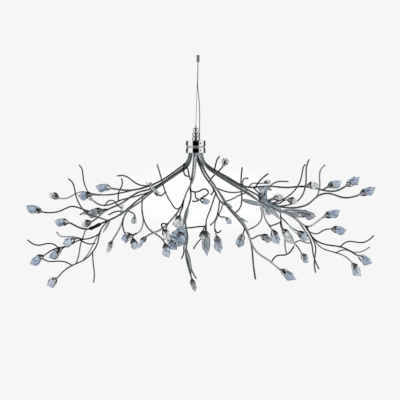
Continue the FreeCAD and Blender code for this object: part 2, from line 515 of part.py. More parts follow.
# Stems: name, what it is brazed to, depth share at the end, bud's tip or None, pixels
STEMS_PX = {
    "left_upper": [
        ("lu_comb", "left_long", -0.1, (88, 197),
         [(150, 191.8), (133, 197), (120, 200.5), (108, 205), (98, 204), (93.5, 200.8)]),
        ("lu_high", "left_top", -0.45, None,
         [(149, 186), (140, 185), (132, 180.3), (124.5, 175.8), (117.5, 176)]),
        ("lu_spike", "lu_comb", 0.1, None,
         [(118.5, 201), (118.6, 193), (122.3, 183.5), (121.5, 178.5)]),
        ("lu_curl", "lu_comb", -0.35, None,
         [(105, 205), (109, 200.8), (114, 201), (118, 205.5), (122, 208)]),
        ("lu_arm", "left_top", 0.12, (77.5, 195.5),
         [(143, 188), (125, 192), (108, 194.8), (93, 194.8)]),
        ("lu_far", "lu_arm", 0.42, (48.5, 193),
         [(99, 194.8), (90, 193.2), (82, 191.8), (75, 194), (67, 198), (59, 198.3)]),
        ("lu_horn", "lu_far", 0.6, None,
         [(87.5, 193), (84, 183), (82.5, 173.5), (81.3, 168.4), (78.6, 164.8)]),
        ("lu_sweep", "left_long", 0.2, None,
         [(108, 220.5), (99, 217.5), (88, 214), (80.5, 206), (76, 196), (73.9, 186.5), (72.6, 182.9),
          (68.2, 178.8)]),
        ("lu_reach", "left_back", 0.85, (24.5, 205.5),
         [(105, 210.8), (88, 211), (79, 208), (71, 206.5), (62, 210), (51, 212.7), (41.5, 212)]),
        ("lu_snag", "lu_reach", 0.62, None, [(89, 211), (84, 212.6), (79.5, 214.8)]),
        ("lu_leaf", "left_back", 0.12, (85.5, 214.3), [(107.5, 209.8), (102.5, 209.6)]),
    ],
    "left_lower": [
        ("ll_arm", "left_long", -0.62, (47.5, 285),
         [(108.5, 220.5), (101, 230), (98, 242), (92, 253), (83, 260.5), (72, 265.5), (62, 273),
          (58, 277.5)]),
        ("ll_far", "ll_arm", -0.95, (30.5, 263.5),
         [(99.5, 234), (89, 238.5), (81, 239.6), (70, 245), (56, 248.5), (45, 255)]),
        ("ll_bow", "ll_far", -0.4, None, [(81, 240), (86, 242.8), (90, 243.9), (95.5, 243)]),
        ("ll_fall", "left_long", 0.12, None,
         [(86.3, 229.2), (83.5, 236), (80.5, 245), (78.8, 255), (75.8, 264)]),
        ("ll_tip", "ll_far", -0.3, None, [(84, 239), (75, 237), (66, 236.7), (60.5, 236), (57, 232)]),
        ("ll_bud", "ll_far", -0.82, (62.5, 243.5), [(80.5, 240), (76.5, 238.6)]),
        ("ll_wave", "ll_far", -0.7, None,
         [(60, 247.7), (54, 244), (47, 243.5), (38.5, 245), (31, 242), (28, 239.5)]),
        ("ll_low", "ll_far", -0.6, (49, 257.8), [(67, 246), (62.5, 248.6)]),
        ("ll_twin", "ll_arm", -0.15, None, [(101, 231), (95, 241), (88, 254), (83.5, 259.5)]),
        ("ll_level", "ll_arm", -0.35, None,
         [(73, 265.3), (68, 262.7), (58, 261), (47.5, 260.8), (40.5, 256.5)]),
        ("ll_plumb", "ll_arm", -0.6, None, [(92.5, 252.5), (93.6, 264), (94.7, 275), (94, 282.5)]),
    ],
    "left_inner": [
        ("li_long", "left_long", -0.5, (169, 257.8),
         [(142.7, 196.8), (142, 206), (143.8, 219), (150, 230), (158, 235.3), (164.8, 242.5)]),
        ("li_turn", "li_long", -0.12, (121, 238.8),
         [(142.3, 212), (143, 224), (139, 232), (133.3, 234.6)]),
        ("li_short", "left_drop", 0.05, None, [(123.5, 219.5), (122.8, 227), (125, 233.5), (127.5, 238)]),
        ("li_hang", "li_turn", -0.3, (135.3, 250), [(136, 234.2), (132.8, 237.6)]),
        ("li_pip", "left_drop", 0.33, (133, 224.5), [(127.5, 211), (132, 212.8), (134.8, 215.6)]),
        ("li_nib", "left_long", -0.42, None, [(123.5, 212), (119, 211.2), (114, 212.2), (109, 214.8)]),
        ("li_rake", "front_left", -0.62, None,
         [(181, 206.8), (177, 209), (172, 204), (167, 195.5), (162.5, 182), (157.3, 164.5)]),
        ("li_hook", "li_rake", -0.8, None, [(165, 191.5), (162, 195.3), (158.5, 195.3), (155, 192.5)]),
        ("li_link", "left_top", 0.16, None, [(185.5, 164), (188, 170), (189, 175), (190.5, 180)]),
        ("li_crook", "left_top", -0.24, None, [(184.4, 165.6), (183.8, 170.5), (185, 175), (188.5, 176.5)]),
    ],
    "centre": [
        ("ce_pair", "front_drop", -0.3, None,
         [(186.3, 248), (190, 260), (191.8, 270), (196.5, 278.5)]),
        ("ce_loop", "front_drop", -0.45, None,
         [(190.7, 191), (197, 192), (206, 189.3), (208.3, 192.5), (203, 197), (195, 201.4), (192.3, 201)]),
        ("ce_rose", "ce_loop", -0.6, (210.3, 201.5), [(195.3, 192), (195.5, 195.5), (199.2, 199.4)]),
        ("ce_small", "front_left", -0.85, (177, 228.8), [(183.5, 202.5), (182.5, 208), (180, 214.5)]),
        ("ce_tuft", "front_left", -0.3, (177, 250), [(172, 219.5), (166.8, 226), (168, 236)]),
        ("ce_tail", "front_drop", -0.62, None, [(187, 241.5), (184.3, 245), (184, 251), (181.5, 258.5)]),
        ("ce_bar", "front_drop", -0.1, None, [(186, 227.5), (189.5, 227.8), (198, 226.7), (206, 226.3)]),
        ("ce_plum", "rear_inner", 0.2, (207.3, 256.5),
         [(215, 193), (213.5, 200), (210.5, 209), (206.3, 221), (206.3, 230)]),
        ("ce_slant", "rear_inner", -0.05, None, [(219, 200), (218, 212), (214.5, 221), (210, 225.5)]),
        ("ce_pear", "rear_right", 0.32, (220.7, 253.8),
         [(225, 199.5), (219.5, 213), (214.8, 224), (216.3, 235)]),
        ("ce_drop", "ce_bar", -0.2, (202.3, 240.5), [(204, 226.5), (203.2, 230)]),
        ("ce_barb", "ce_plum", 0.12, None, [(206.3, 225), (202.5, 237), (198, 242), (193.5, 249)]),
        ("ce_bead", "front_left", -0.5, (185, 243), [(177, 213.5), (176, 222), (178.5, 231)]),
        ("ce_knot", "front_left", -0.95, (170.5, 240), [(166.5, 224.5), (163, 228.5)]),
        ("ce_nib", "rear_inner", 0.1, None, [(213.4, 188.6), (213.2, 192.3), (210.6, 194.9)]),
        ("ce_spur", "ce_pear", -0.2, None, [(215.4, 229.6), (217.3, 232.6), (220.9, 230.6)]),
        ("ce_berry", "ce_slant", -0.2, (232, 223.5), [(218.3, 214.5), (221, 217), (225.5, 217.5)]),
    ],
    "right_inner": [
        ("ri_spur", "right_top", -0.5, None, [(214.5, 169.9), (215.8, 164), (216.8, 160.4), (219.3, 156.6)]),
        ("ri_bloom", "rear_inner", 0.4, (227.3, 157.5),
         [(208.5, 182.5), (213, 176.5), (219, 170.8), (223, 166)]),
        ("ri_level", "rear_drop", 0.5, None,
         [(216, 187.5), (222, 190.3), (230, 192.3), (241, 191.7), (248, 190)]),
        ("ri_cross", "rear_drop", 0.35, None, [(225, 202), (233, 198.7), (241, 194.5), (249, 192.5)]),
        ("ri_mast", "rear_drop", 0.8, None,
         [(231, 211.2), (234.3, 212.6), (238.8, 209.8), (241.8, 201), (241.2, 184), (242.4, 167.3)]),
        ("ri_nook", "right_top", -0.05, None, [(243, 185.3), (243.3, 179.8), (245, 178.3), (248.5, 178.8)]),
        ("ri_pear", "rear_drop", 0.85, (238.3, 248), [(245.3, 229), (243.3, 233.5)]),
        ("ri_rise", "rear_drop", 0.19, None,
         [(245.8, 230), (253.5, 227.5), (260, 222), (262, 213), (260.5, 207.5)]),
        ("ri_dip", "rear_drop", 0.7, (272.3, 240.5),
         [(247.3, 233), (251.5, 238.8), (256, 237), (260.5, 235.3)]),
        ("ri_fork", "right_back", 0.25, None, [(269.8, 225.5), (275, 224.6), (280.8, 222)]),
        ("ri_pale", "right_top", 0.05, (271, 180.5),
         [(248.5, 186.9), (251.5, 184), (257, 183.3), (263.5, 183.2)]),
        ("ri_prong", "right_top", -0.35, None, [(255.5, 187), (258, 183), (263, 177.5), (268, 173.8)]),
        ("ri_reed", "right_top", -0.12, None, [(270, 186.5), (275, 182.6), (281, 181.4), (288.5, 181.7)]),
        ("ri_first", "right_long", -0.2, (262.3, 188.5), [(259, 196), (261, 198.5)]),
        ("ri_second", "right_long", -0.18, (283.5, 195.5), [(268.5, 201.5), (272.5, 198.8)]),
        ("ri_fourth", "right_top", 0.12, (273, 207.5), [(252.8, 187), (258.5, 193), (263, 199)]),
        ("ri_fifth", "right_long", -0.35, (297.5, 201.5), [(273, 203.6), (280, 203), (286.5, 199.8)]),
        ("ri_third", "right_back", 0.3, (271.5, 214.5), [(261.5, 205), (264.8, 208)]),
    ],
    "right_upper": [
        ("ru_mast", "right_long", -0.55, None,
         [(279, 206.2), (290, 204.5), (298.5, 200), (304, 191), (305.9, 179), (306.4, 166), (308.8, 159.6)]),
        ("ru_slim", "right_long", 0.2, None,
         [(272, 203), (284, 198.8), (295, 190), (301, 179), (303, 169), (304.1, 166), (305.7, 164.3)]),
        ("ru_hook", "right_long", -0.12, None,
         [(317, 197), (319.7, 187), (320, 171.5), (320.8, 169.3), (325.1, 164.9)]),
        ("ru_pearl", "right_top", -0.5, (319, 184.3), [(301, 186.5), (305.8, 186)]),
        ("ru_petal", "right_top", -0.02, (341.8, 180.8), [(322.5, 189.8), (327, 187.3)]),
    ],
    "right_lower": [
        ("rl_drop", "right_long", 0.5, None,
         [(280.5, 206.5), (280.5, 214), (281.8, 225), (284.7, 237), (285.5, 248), (287.3, 255)]),
        ("rl_thorn", "rear_right", 0.8, None,
         [(272.5, 262.3), (277, 256), (286, 255), (291.5, 251), (294.3, 246.5)]),
        ("rl_bell", "rl_drop", 0.72, (308.8, 263), [(284.5, 236), (290, 240.5), (297, 246), (302, 253.5)]),
        ("rl_cup", "rl_drop", 0.08, (308.8, 240.5), [(280.8, 216), (285, 221), (291, 227), (297, 230.8)]),
        ("rl_fan", "right_front", -0.2, (316.5, 216.3), [(280, 211.2), (289, 210.3), (299, 212.3)]),
        ("rl_leaf", "rl_drop", -0.1, (294.5, 244), [(281.2, 220), (281.8, 228.5)]),
        ("rl_wisp", "rl_bell", 0.4, None, [(293, 242.8), (301, 240.8), (307, 243), (311.5, 242.8)]),
        ("rl_plumb", "right_front", 0.05, None,
         [(297.5, 221), (305, 231), (311, 242), (313.6, 256), (319, 269)]),
        ("rl_stray", "right_front", -0.1, None,
         [(304, 225.5), (311, 236), (315.6, 249), (314.2, 261), (315.5, 272.5)]),
        ("rl_long", "right_front", -0.6, (372, 263),
         [(307, 226.8), (313, 238), (326, 244.5), (341, 247), (357, 255.3)]),
        ("rl_even", "rl_long", -0.85, (346, 230),
         [(309.5, 231.5), (316, 233.7), (323, 230.2), (330, 228.8)]),
        ("rl_crest", "rl_long", -0.8, None,
         [(340, 247), (346, 241.8), (361, 242.4), (366, 241), (373, 235.3)]),
        ("rl_low", "rl_long", -0.3, (360.7, 276.3),
         [(313, 238), (321, 247.5), (331, 251.3), (345, 256.5), (351.5, 262.3)]),
        ("rl_ripple", "rl_low", -0.15, None,
         [(336, 253), (343, 249.8), (356, 252.3), (363, 251), (369.5, 247)]),
    ],
}

# Region of the buds that the bough tubes carry
BOUGH_BUDS = {
    "left_upper": ("left_top", "left_long", "left_back"),
    "left_inner": ("left_drop",),
    "centre": ("front_drop", "front_left"),
    "right_inner": ("rear_inner", "right_back"),
    "right_upper": ("right_top", "right_long"),
    "right_lower": ("rear_right", "right_front"),
}

# Region of every rod that ends in a bud
REGION_OF = {name: region for region, names in BOUGH_BUDS.items() for name in names}
for region, rows in STEMS_PX.items():
    REGION_OF.update({row[0]: region for row in rows})

lines = {}
radii = {}
end_ways = {}
buds = {region: [] for region in STEMS_PX}


def nearest(line, px, py):
    best = None
    for a, b in zip(line, line[1:]):
        way = b - a
        spot = at_pixel(px, py, 0)
        flat = Vector(way.x, 0, way.z)
        along = Vector(spot.x - a.x, 0, spot.z - a.z).dot(flat) / flat.dot(flat)
        point = a + way * min(max(along, 0), 1)
        far = Vector(spot.x - point.x, 0, spot.z - point.z).Length
        if best is None or far < best[0]:
            best = (far, point, way.normalize())
    return best[1], best[2]


def draw(name, points, slope, tip, radius, head):
    top = None
    if tip:
        aim = at_pixel(tip[0], tip[1], points[-1].y) - points[-1]
        lean = max(-MOST_LEAN_SHARE, min(MOST_LEAN_SHARE, slope))
        aim.y += lean * aim.Length
        top = points[-1] + aim * (size("bud_reach") / MM_PER_PX)
    lines[name] = head + bent(points, top)
    radii[name] = radius
    end_ways[name] = None
    if tip:
        end_ways[name] = (top - lines[name][-1]).normalize()
        buds[REGION_OF[name]].append((lines[name][-1], top))


def boughs():
    radius = size("tube_radius")
    bend_z = size("underside_z") - size("tube_tail")
    for label, rows in BOUGHS_PX.items():
        solids = []
        for name, angle, share, tip, pixels in rows:
            turn = math.radians(angle)
            x = HUB_AXIS_X + size("pitch_radius") * math.cos(turn)
            y = size("pitch_radius") * math.sin(turn)
            start = Vector(x, y, bend_z)
            points, slope = route(start, pixels, share, BOUGH_DEPTH_POWER)
            head = [Vector(x, y, size("underside_z") + size("socket_depth"))]
            draw(name, points, slope, tip, radius, head)
            solids.append(swept(lines[name], radius, TUBE_SIDES, end_ways[name]))
        solids_piece(label, solids)


def stems():
    for region, rows in STEMS_PX.items():
        solids = {"stems": [], "twigs": []}
        for name, parent, share, tip, pixels in rows:
            kind = "stems" if radii[parent] == size("tube_radius") else "twigs"
            radius = size("stem_radius") if kind == "stems" else size("twig_radius")
            spot, way = nearest(lines[parent], *pixels[0])
            side = 1 if share * size("half_depth") > spot.y else -1
            out = (Vector(0, side, 0) - way * (side * way.y)).normalize()
            sides = TUBE_SIDES if kind == "stems" else STEM_SIDES
            reach = flat_reach(radii[parent], sides) + flat_reach(radius, STEM_SIDES)
            start = spot + out * (reach + size("solder_gap"))
            points, slope = route(start, pixels[1:], share, STEM_DEPTH_POWER)
            along = 1 if way.dot(points[1] - start) > 0 else -1
            foot = start - way * (along * size("foot_length"))
            draw(name, points, slope, tip, radius, [foot])
            solids[kind].append(swept(lines[name], radius, STEM_SIDES, end_ways[name]))
        for kind in solids:
            if solids[kind]:
                solids_piece("%s_%s" % (region, kind), solids[kind])


def lower_drum():
    body = turned("lower_drum_blank", [
        ("sizes.rod_bore", "0"),
        ("sizes.drum_radius - sizes.drum_edge", "0"),
        ("sizes.drum_radius", "sizes.drum_edge"),
        ("sizes.drum_radius", "sizes.base_height - sizes.drum_edge"),
        ("sizes.drum_radius - sizes.drum_edge", "sizes.base_height"),
        ("sizes.rod_bore", "sizes.base_height"),
    ], "sizes.underside_z")
    doc.recompute()
    room = size("seat_gap")
    sockets = []
    for name in [row[0] for rows in BOUGHS_PX.values() for row in rows]:
        top = lines[name][0] + Vector(0, 0, room)
        foot = Vector(top.x, top.y, size("underside_z") - size("overrun"))
        sockets.append(swept([top, foot], size("tube_radius") + room, TUBE_SIDES))
    solids_piece("hub_drum_lower", [body.Shape.cut(sockets)])


def tapered(foot, way, sections, point=None):
    rings = [ring(foot + way * along, way, radius, STEM_SIDES) for along, radius in sections]
    return faceted(rings, point)


def bud(foot, tip):
    way = (tip - foot).normalize()
    room = size("seat_gap")
    whole = (tip - foot).Length
    lit = whole > LAMP_BUD_PX * MM_PER_PX
    share = 1 if lit else SMALL_HOLDER_SHARE
    holder = size("holder_length") * share
    mouth = size("holder_radius") * share
    foot_radius = size("holder_foot") * share
    holder_solid = tapered(foot + way * room, way, [(0, foot_radius), (holder, mouth)])
    base = foot + way * (holder + 2 * room)
    length = (tip - base).Length
    waist = min(length * BUD_WAIST_SHARE, size("bud_radius"))
    sections = [(length * along, waist * out) for along, out in BUD_SHARES]
    glass = tapered(base, way, sections, tip)
    if not lit:
        return glass, holder_solid, None
    lamp_end = length * LAMP_SHARE
    lamp = tapered(base, way, [(0, size("lamp_radius")), (lamp_end, size("lamp_radius"))])
    hollow = tapered(base, way, [(-size("overrun"), size("lamp_radius") + room),
                                 (lamp_end + room, size("lamp_radius") + room)])
    return glass.cut(hollow), holder_solid, lamp


def all_buds():
    for region, places in buds.items():
        made = [bud(foot, tip) for foot, tip in places]
        solids_piece(region + "_bud_glass", [row[0] for row in made])
        solids_piece(region + "_bud_holders", [row[1] for row in made])
        solids_piece(region + "_bud_lamps", [row[2] for row in made if row[2]])


# Sleeve of the left bough where its twigs part, from one pixel column to another
SLEEVE_PX = (101.5, 89)


def stretch(line, right, left):
    points = []
    for a, b in zip(line, line[1:]):
        for limit in (right, left):
            if a.x > limit > b.x:
                points.append(a + (b - a) * ((a.x - limit) / (a.x - b.x)))
        if left < b.x < right:
            points.append(b)
    return sorted(points, key=lambda point: -point.x)


def junction_sleeve():
    right, left = [HUB_AXIS_X + (px - HUB_X) * MM_PER_PX for px in SLEEVE_PX]
    inside = stretch(lines["left_long"], right, left)
    first, last = inside[0], inside[-1]
    inner_bends = [p for p in inside if min((p - first).Length, (p - last).Length) > size("sleeve_radius")]
    inside = [first] + inner_bends + [last]
    ends = [inside[0] - (inside[1] - inside[0]).normalize() * size("overrun")]
    ends.append(inside[-1] + (inside[-1] - inside[-2]).normalize() * size("overrun"))
    outer = swept(inside, size("sleeve_radius"), TUBE_SIDES)
    inner = swept([ends[0]] + inside[1:-1] + [ends[1]], size("tube_radius") + size("seat_gap"), TUBE_SIDES)
    solids_piece("junction_sleeve", [outer.cut(inner)])


# Binding wire: an oval coil whose axis follows the left bundle, and the rods that it goes round
COIL_PX = ((157, 186.5), (150, 191.5))
COILED_RODS = ("left_top", "left_long", "left_drop", "left_back", "lu_high", "lu_comb", "lu_arm")


def coil_line(half_depth):
    a = at_pixel(COIL_PX[0][0], COIL_PX[0][1], 0)
    b = at_pixel(COIL_PX[1][0], COIL_PX[1][1], 0)
    way = (b - a).normalize()
    up = Vector(-way.z, 0, way.x)
    middle = (a + b) * 0.5
    points = []
    for k in range(int(COIL_TURNS * COIL_STEPS) + 1):
        turn = 2 * math.pi * k / COIL_STEPS
        along = (k / COIL_STEPS - COIL_TURNS / 2) * size("coil_pitch")
        points.append(middle + way * along
                      + up * (half_depth * COIL_HEIGHT_SHARE * math.cos(turn))
                      + Vector(0, half_depth * math.sin(turn), 0))
    return points


# The coil starts wide and is drawn in by its gap to the rods, which it never passes
def binding_wire():
    rods = [(Part.makePolygon(lines[name]), radii[name]) for name in COILED_RODS]
    held_off = size("wire_radius") + size("coil_gap")
    half_depth = size("coil_most")
    for _ in range(COIL_FIT_STEPS):
        coil = Part.makePolygon(coil_line(half_depth))
        half_depth -= min(coil.distToShape(rod)[0] - radius for rod, radius in rods) - held_off
    print("binding coil's half depth %.1f" % half_depth)
    points = coil_line(half_depth)
    apart = min((far - near).Length for k, near in enumerate(points)
                for far in points[k + COIL_STEPS // 2:])
    print("binding wire's least gap to itself %.1f" % (apart - 2 * size("wire_radius")))
    away = (points[0] - points[COIL_STEPS // 2]).normalize() * size("coil_tail")
    points = [points[0] + away] + points + [points[-1] - away]
    lines["binding_wire"] = points
    radii["binding_wire"] = size("wire_radius")
    solids_piece("binding_wire", [swept(points, size("wire_radius"), STEM_SIDES)])


# Route of the supply cable, from inside the coupler to the gland's mouth, chosen by hand
SUPPLY_ROUTE = [(0, 9, -16), (-0.8, 9.3, -64), (-2.8, 8.8, -123), (4.6, 8.6, -181),
                (6.9, 9.4, -240), (6, 10.6, -296)]


CORNER_SHARE = 0.45


def arc_path(points):
    edges = []
    last = points[0]
    for k in range(1, len(points) - 1):
        before = points[k - 1] - points[k]
        after = points[k + 1] - points[k]
        turn = math.pi - before.getAngle(after)
        reach = CORNER_SHARE * min(before.Length, after.Length)
        print("supply cable bend %d: radius %.0f" % (k, reach / math.tan(turn / 2)))
        enter = points[k] + before.normalize() * reach
        leave = points[k] + after.normalize() * reach
        edges.append(Part.LineSegment(last, enter).toShape())
        centre_way = ((enter - points[k]).normalize() + (leave - points[k]).normalize()).normalize()
        radius = reach / math.tan(turn / 2)
        centre = points[k] + centre_way * (radius / math.cos(turn / 2))
        middle = centre - centre_way * radius
        edges.append(Part.Arc(enter, middle, leave).toShape())
        last = leave
    edges.append(Part.LineSegment(last, points[-1]).toShape())
    return Part.Wire(edges)


def cables():
    top = Vector(0, 0, -size("ball_drop") - size("ball_radius") - size("seat_gap"))
    foot = Vector(HUB_AXIS_X, 0, -size("cable_drop") + size("seat_gap"))
    way = foot - top
    steel = Part.makeCylinder(size("cable_radius"), way.Length, top, way)
    solids_piece("suspension_cable", [steel])
    points = [Vector(*spot) for spot in SUPPLY_ROUTE]
    gland_top = Vector(HUB_AXIS_X + size("gland_across"), size("gland_behind"),
                       size("lower_foot_z") + size("gland_height") + size("seat_gap"))
    points.append(gland_top)
    path = arc_path(points)
    corners = ring(points[0], (points[1] - points[0]).normalize(), size("supply_radius"), TUBE_SIDES)
    section = Part.makePolygon(corners + corners[:1])
    tube = path.makePipeShell([section], True, False)
    ratio = tube.Volume / (Part.Face(section).Area * path.Length)
    print("supply cable length %.0f, volume ratio %.4f" % (path.Length, ratio))
    solids_piece("supply_cable", [tube])


def main():
    ceiling_coupler()
    coupler_collar()
    cable_ball_end()
    cables()
    beads()
    hub()
    hub_screws()
    boughs()
    stems()
    lower_drum()
    all_buds()
    junction_sleeve()
    binding_wire()
    doc.recompute()
    for piece in doc.Objects:
        if "Invalid" in piece.State or "Error" in piece.State:
            raise RuntimeError("%s failed: %s" % (piece.Label, piece.State))
    for piece in nodes:
        if piece.Shape.isNull() or not piece.Shape.isValid():
            raise RuntimeError("%s has no valid shape" % piece.Label)
    for piece in nodes:
        piece.Shape.exportStep("parts/%s.step" % piece.Label)
    print("%d nodes" % len(nodes))


main()
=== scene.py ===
"""Looks of a pendant light with branching stems and glass buds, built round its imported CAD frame.

Metres, +Z up, +X right, +Y away from the camera. The origin is the top of the ceiling coupler.
"""

import math

import bmesh
import bpy
import numpy as np
from bpy.props import FloatProperty, FloatVectorProperty, IntProperty, PointerProperty
from bpy.types import Operator, Panel, PropertyGroup
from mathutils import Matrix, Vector


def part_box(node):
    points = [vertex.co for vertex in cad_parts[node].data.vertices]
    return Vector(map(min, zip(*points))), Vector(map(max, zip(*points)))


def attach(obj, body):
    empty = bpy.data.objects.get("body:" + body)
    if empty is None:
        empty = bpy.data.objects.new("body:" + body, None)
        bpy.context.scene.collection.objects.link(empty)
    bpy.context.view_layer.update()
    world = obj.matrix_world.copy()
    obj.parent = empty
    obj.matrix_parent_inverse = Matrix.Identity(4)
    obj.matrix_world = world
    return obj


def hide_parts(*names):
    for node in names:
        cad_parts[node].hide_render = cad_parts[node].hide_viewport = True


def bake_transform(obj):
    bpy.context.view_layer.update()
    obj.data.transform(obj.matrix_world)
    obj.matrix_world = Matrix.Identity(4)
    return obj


bl_info = {
    "name": "Branching pendant light",
    "version": (1, 0, 0),
    "blender": (4, 5, 0),
    "location": "View3D > Sidebar > Pendant",
    "description": "Builds the stems, glass buds, hub, cables and studio of a branching pendant light",
    "category": "Object",
}

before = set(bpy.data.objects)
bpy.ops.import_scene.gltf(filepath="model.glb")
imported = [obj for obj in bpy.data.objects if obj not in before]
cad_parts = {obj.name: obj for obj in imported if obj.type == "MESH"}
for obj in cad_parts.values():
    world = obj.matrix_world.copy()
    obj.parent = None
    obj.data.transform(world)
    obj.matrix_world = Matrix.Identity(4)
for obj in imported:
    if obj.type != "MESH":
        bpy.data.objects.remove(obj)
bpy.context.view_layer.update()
MM = 0.001

# The photograph's measures, in pixels
SPREAD_PX = 352
HUB_COLUMN_PX = 195.8
HUB_UNDERSIDE_PX = 153

# The real light's measures, and what a pixel is on it
SPREAD_WIDTH = 1.408
HALF_DEPTH = 0.3
METRES_PER_PX = SPREAD_WIDTH / SPREAD_PX

# How a rod's depth grows with its length, and the most that a bud leans forward or back
BOUGH_DEPTH_POWER = 1.8
STEM_DEPTH_POWER = 1.15
MOST_LEAN_SHARE = 0.5

# Heights and the axis of the hub, read from the frame
UPPER_LOW, UPPER_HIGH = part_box("hub_drum_upper")
LOWER_LOW, LOWER_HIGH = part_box("hub_drum_lower")
SPACER_LOW, SPACER_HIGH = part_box("hub_spacer")
HUB_AXIS_X = (UPPER_LOW.x + UPPER_HIGH.x) / 2
UNDERSIDE_Z = LOWER_LOW.z


def length(name, about, default, low=0.0001, high=2.0):
    """A length that the user may set."""
    return FloatProperty(name=name, description=about, default=default, min=low, max=high,
                         precision=4, subtype="DISTANCE", unit="LENGTH")


def share(name, about, default):
    """A share between nothing and all that the user may set."""
    return FloatProperty(name=name, description=about, default=default, min=0, max=1, subtype="FACTOR")


def half_angle(name, about, degrees):
    """An angle that the user may set, to each side of its middle."""
    return FloatProperty(name=name, description=about, default=math.radians(degrees), subtype="ANGLE",
                         unit="ROTATION")


def colour(name, about, default):
    """A colour that the user may set."""
    return FloatVectorProperty(name=name, description=about, default=default, size=3,
                               min=0, max=1, subtype="COLOR")


class PendantStudio(PropertyGroup):
    backdrop: share("Backdrop", "Brightness of the backdrop that the camera sees", 0.9215)
    glow: share("Glow", "Brightness of the backdrop straight behind the stems", 0.995)
    glow_width: length("Glow width", "Half width of the bright oval behind the stems", 0.315)
    glow_height: length("Glow height", "Half height of that oval", 0.133)
    glow_right: length("Glow right", "Middle of that oval, right of the camera's aim", 0.0196)
    glow_up: length("Glow up", "Middle of that oval, above the camera's aim", 0.0126)
    distance: length("Camera distance", "Camera in front of the hub's axis", 50.0, 1, 100)
    width: length("Framed width", "Width of the picture at the hub", 1.6, 0.1, 10)
    aim_x: length("Aim across", "Middle of the picture, across", 0.0078, -1, 1)
    aim_z: length("Aim height", "Middle of the picture, in height", -0.5803, -3, 1)
    floor_drop: length("Floor drop", "Floor under the ceiling coupler", 2.4, 1, 5)
    floor_radius: length("Floor radius", "Reach of the floor", 7.5, 1, 30)
    flag_angle: half_angle("Dark flag", "Half angle of the studio's dark side, behind the camera", 39)
    far_flag_angle: half_angle("Far dark flag", "Half angle of the dark side behind the light", 74)
    overhead: share("Overhead", "Light from straight above, as a share of the rest", 0.05)
    underside: share("Underside", "Light from straight below, as a share of the rest", 0.35)


class PendantCables(PropertyGroup):
    steel_width: length("Steel cable", "Diameter of the suspension cable", 0.002)
    supply_width: length("Supply cable", "Diameter of the supply cable", 0.0032)
    steel_colour: colour("Steel", "Steel strands", (0.05, 0.052, 0.055))
    sheath_colour: colour("Sheath", "Smoky, half clear sheath over tinned cores", (0.06, 0.063, 0.066))


class PendantHub(PropertyGroup):
    chrome: colour("Chrome", "Polished chrome of the hub and the beads", (0.86, 0.86, 0.875))
    edge: length("Edge", "Rounding of the drums' edges", 0.0014)
    waist_inset: length("Waist inset", "Waist inside the drums' sides", 0.003)
    screw_colour: colour("Screws", "Blackened heads of the hub's screws", (0.008, 0.008, 0.01))


class PendantStems(PropertyGroup):
    tube_radius: length("Bough tube", "Radius of the tubes that stand in the hub", 0.0036)
    stem_radius: length("Stem", "Radius of a stem brazed to a tube", 0.0029)
    twig_radius: length("Twig", "Radius of a twig brazed to a stem", 0.0026)
    tube_tail: length("Straight tail", "Straight length of a tube under the hub", 0.003)
    socket_depth: length("Socket", "How deep a tube stands in the hub", 0.014)
    pitch_radius: length("Pitch radius", "Circle on which the tubes stand", 0.027)
    foot_length: length("Foot", "Foot of a stem along what carries it", 0.007)
    braze_gap: length("Braze film", "Film between a foot and what carries it", 0.0006)
    step: length("Step", "Spacing of the rings along a stem", 0.006)
    tube_metal: colour("Tube chrome", "Chrome of the bough tubes", (0.64, 0.71, 0.74))
    metal: colour("Stem chrome", "Dark chrome of the stems", (0.187, 0.212, 0.226))
    braze: colour("Braze", "Braze metal at the joints", (0.36, 0.36, 0.34))


class PendantBuds(PropertyGroup):
    holder_length: length("Holder", "Length of a lamp holder", 0.024)
    holder_radius: length("Holder mouth", "Radius of a lamp holder at its mouth", 0.0145)
    holder_foot: length("Holder foot", "Radius of a lamp holder at its foot", 0.0038)
    lamp_radius: length("Lamp", "Radius of a capsule lamp", 0.0042)
    bud_radius: length("Widest bud", "Widest radius that a bud may have", 0.017)
    wall: length("Petal wall", "Thickness of a glass petal", 0.0011)
    leaf_lean: length("Leaf lean", "How far a loose leaf's tip stands before its foot", 0.006)
    blue: colour("Blue glass", "Lavender glass", (0.485, 0.575, 0.735))
    pale: colour("Pale glass", "Pale blue glass", (0.7, 0.785, 0.92))
    clear: colour("Clear glass", "Clear, slightly green glass", (0.9, 0.97, 1.0))
    smoky: colour("Smoky glass", "Smoky grey glass", (0.45, 0.49, 0.54))
    # Petal edges: painted shade, a darker copy of each glass on the petals' edges and rims
    edge: share("Petal edges", "Shade of the petals' edges beside their faces", 0.45)
    sepals: IntProperty(name="Sepals", description="Sepals of a holder", default=4, min=3, max=7)
    holder_metal: colour("Holder metal", "Chrome of the holders", (0.70, 0.71, 0.72))


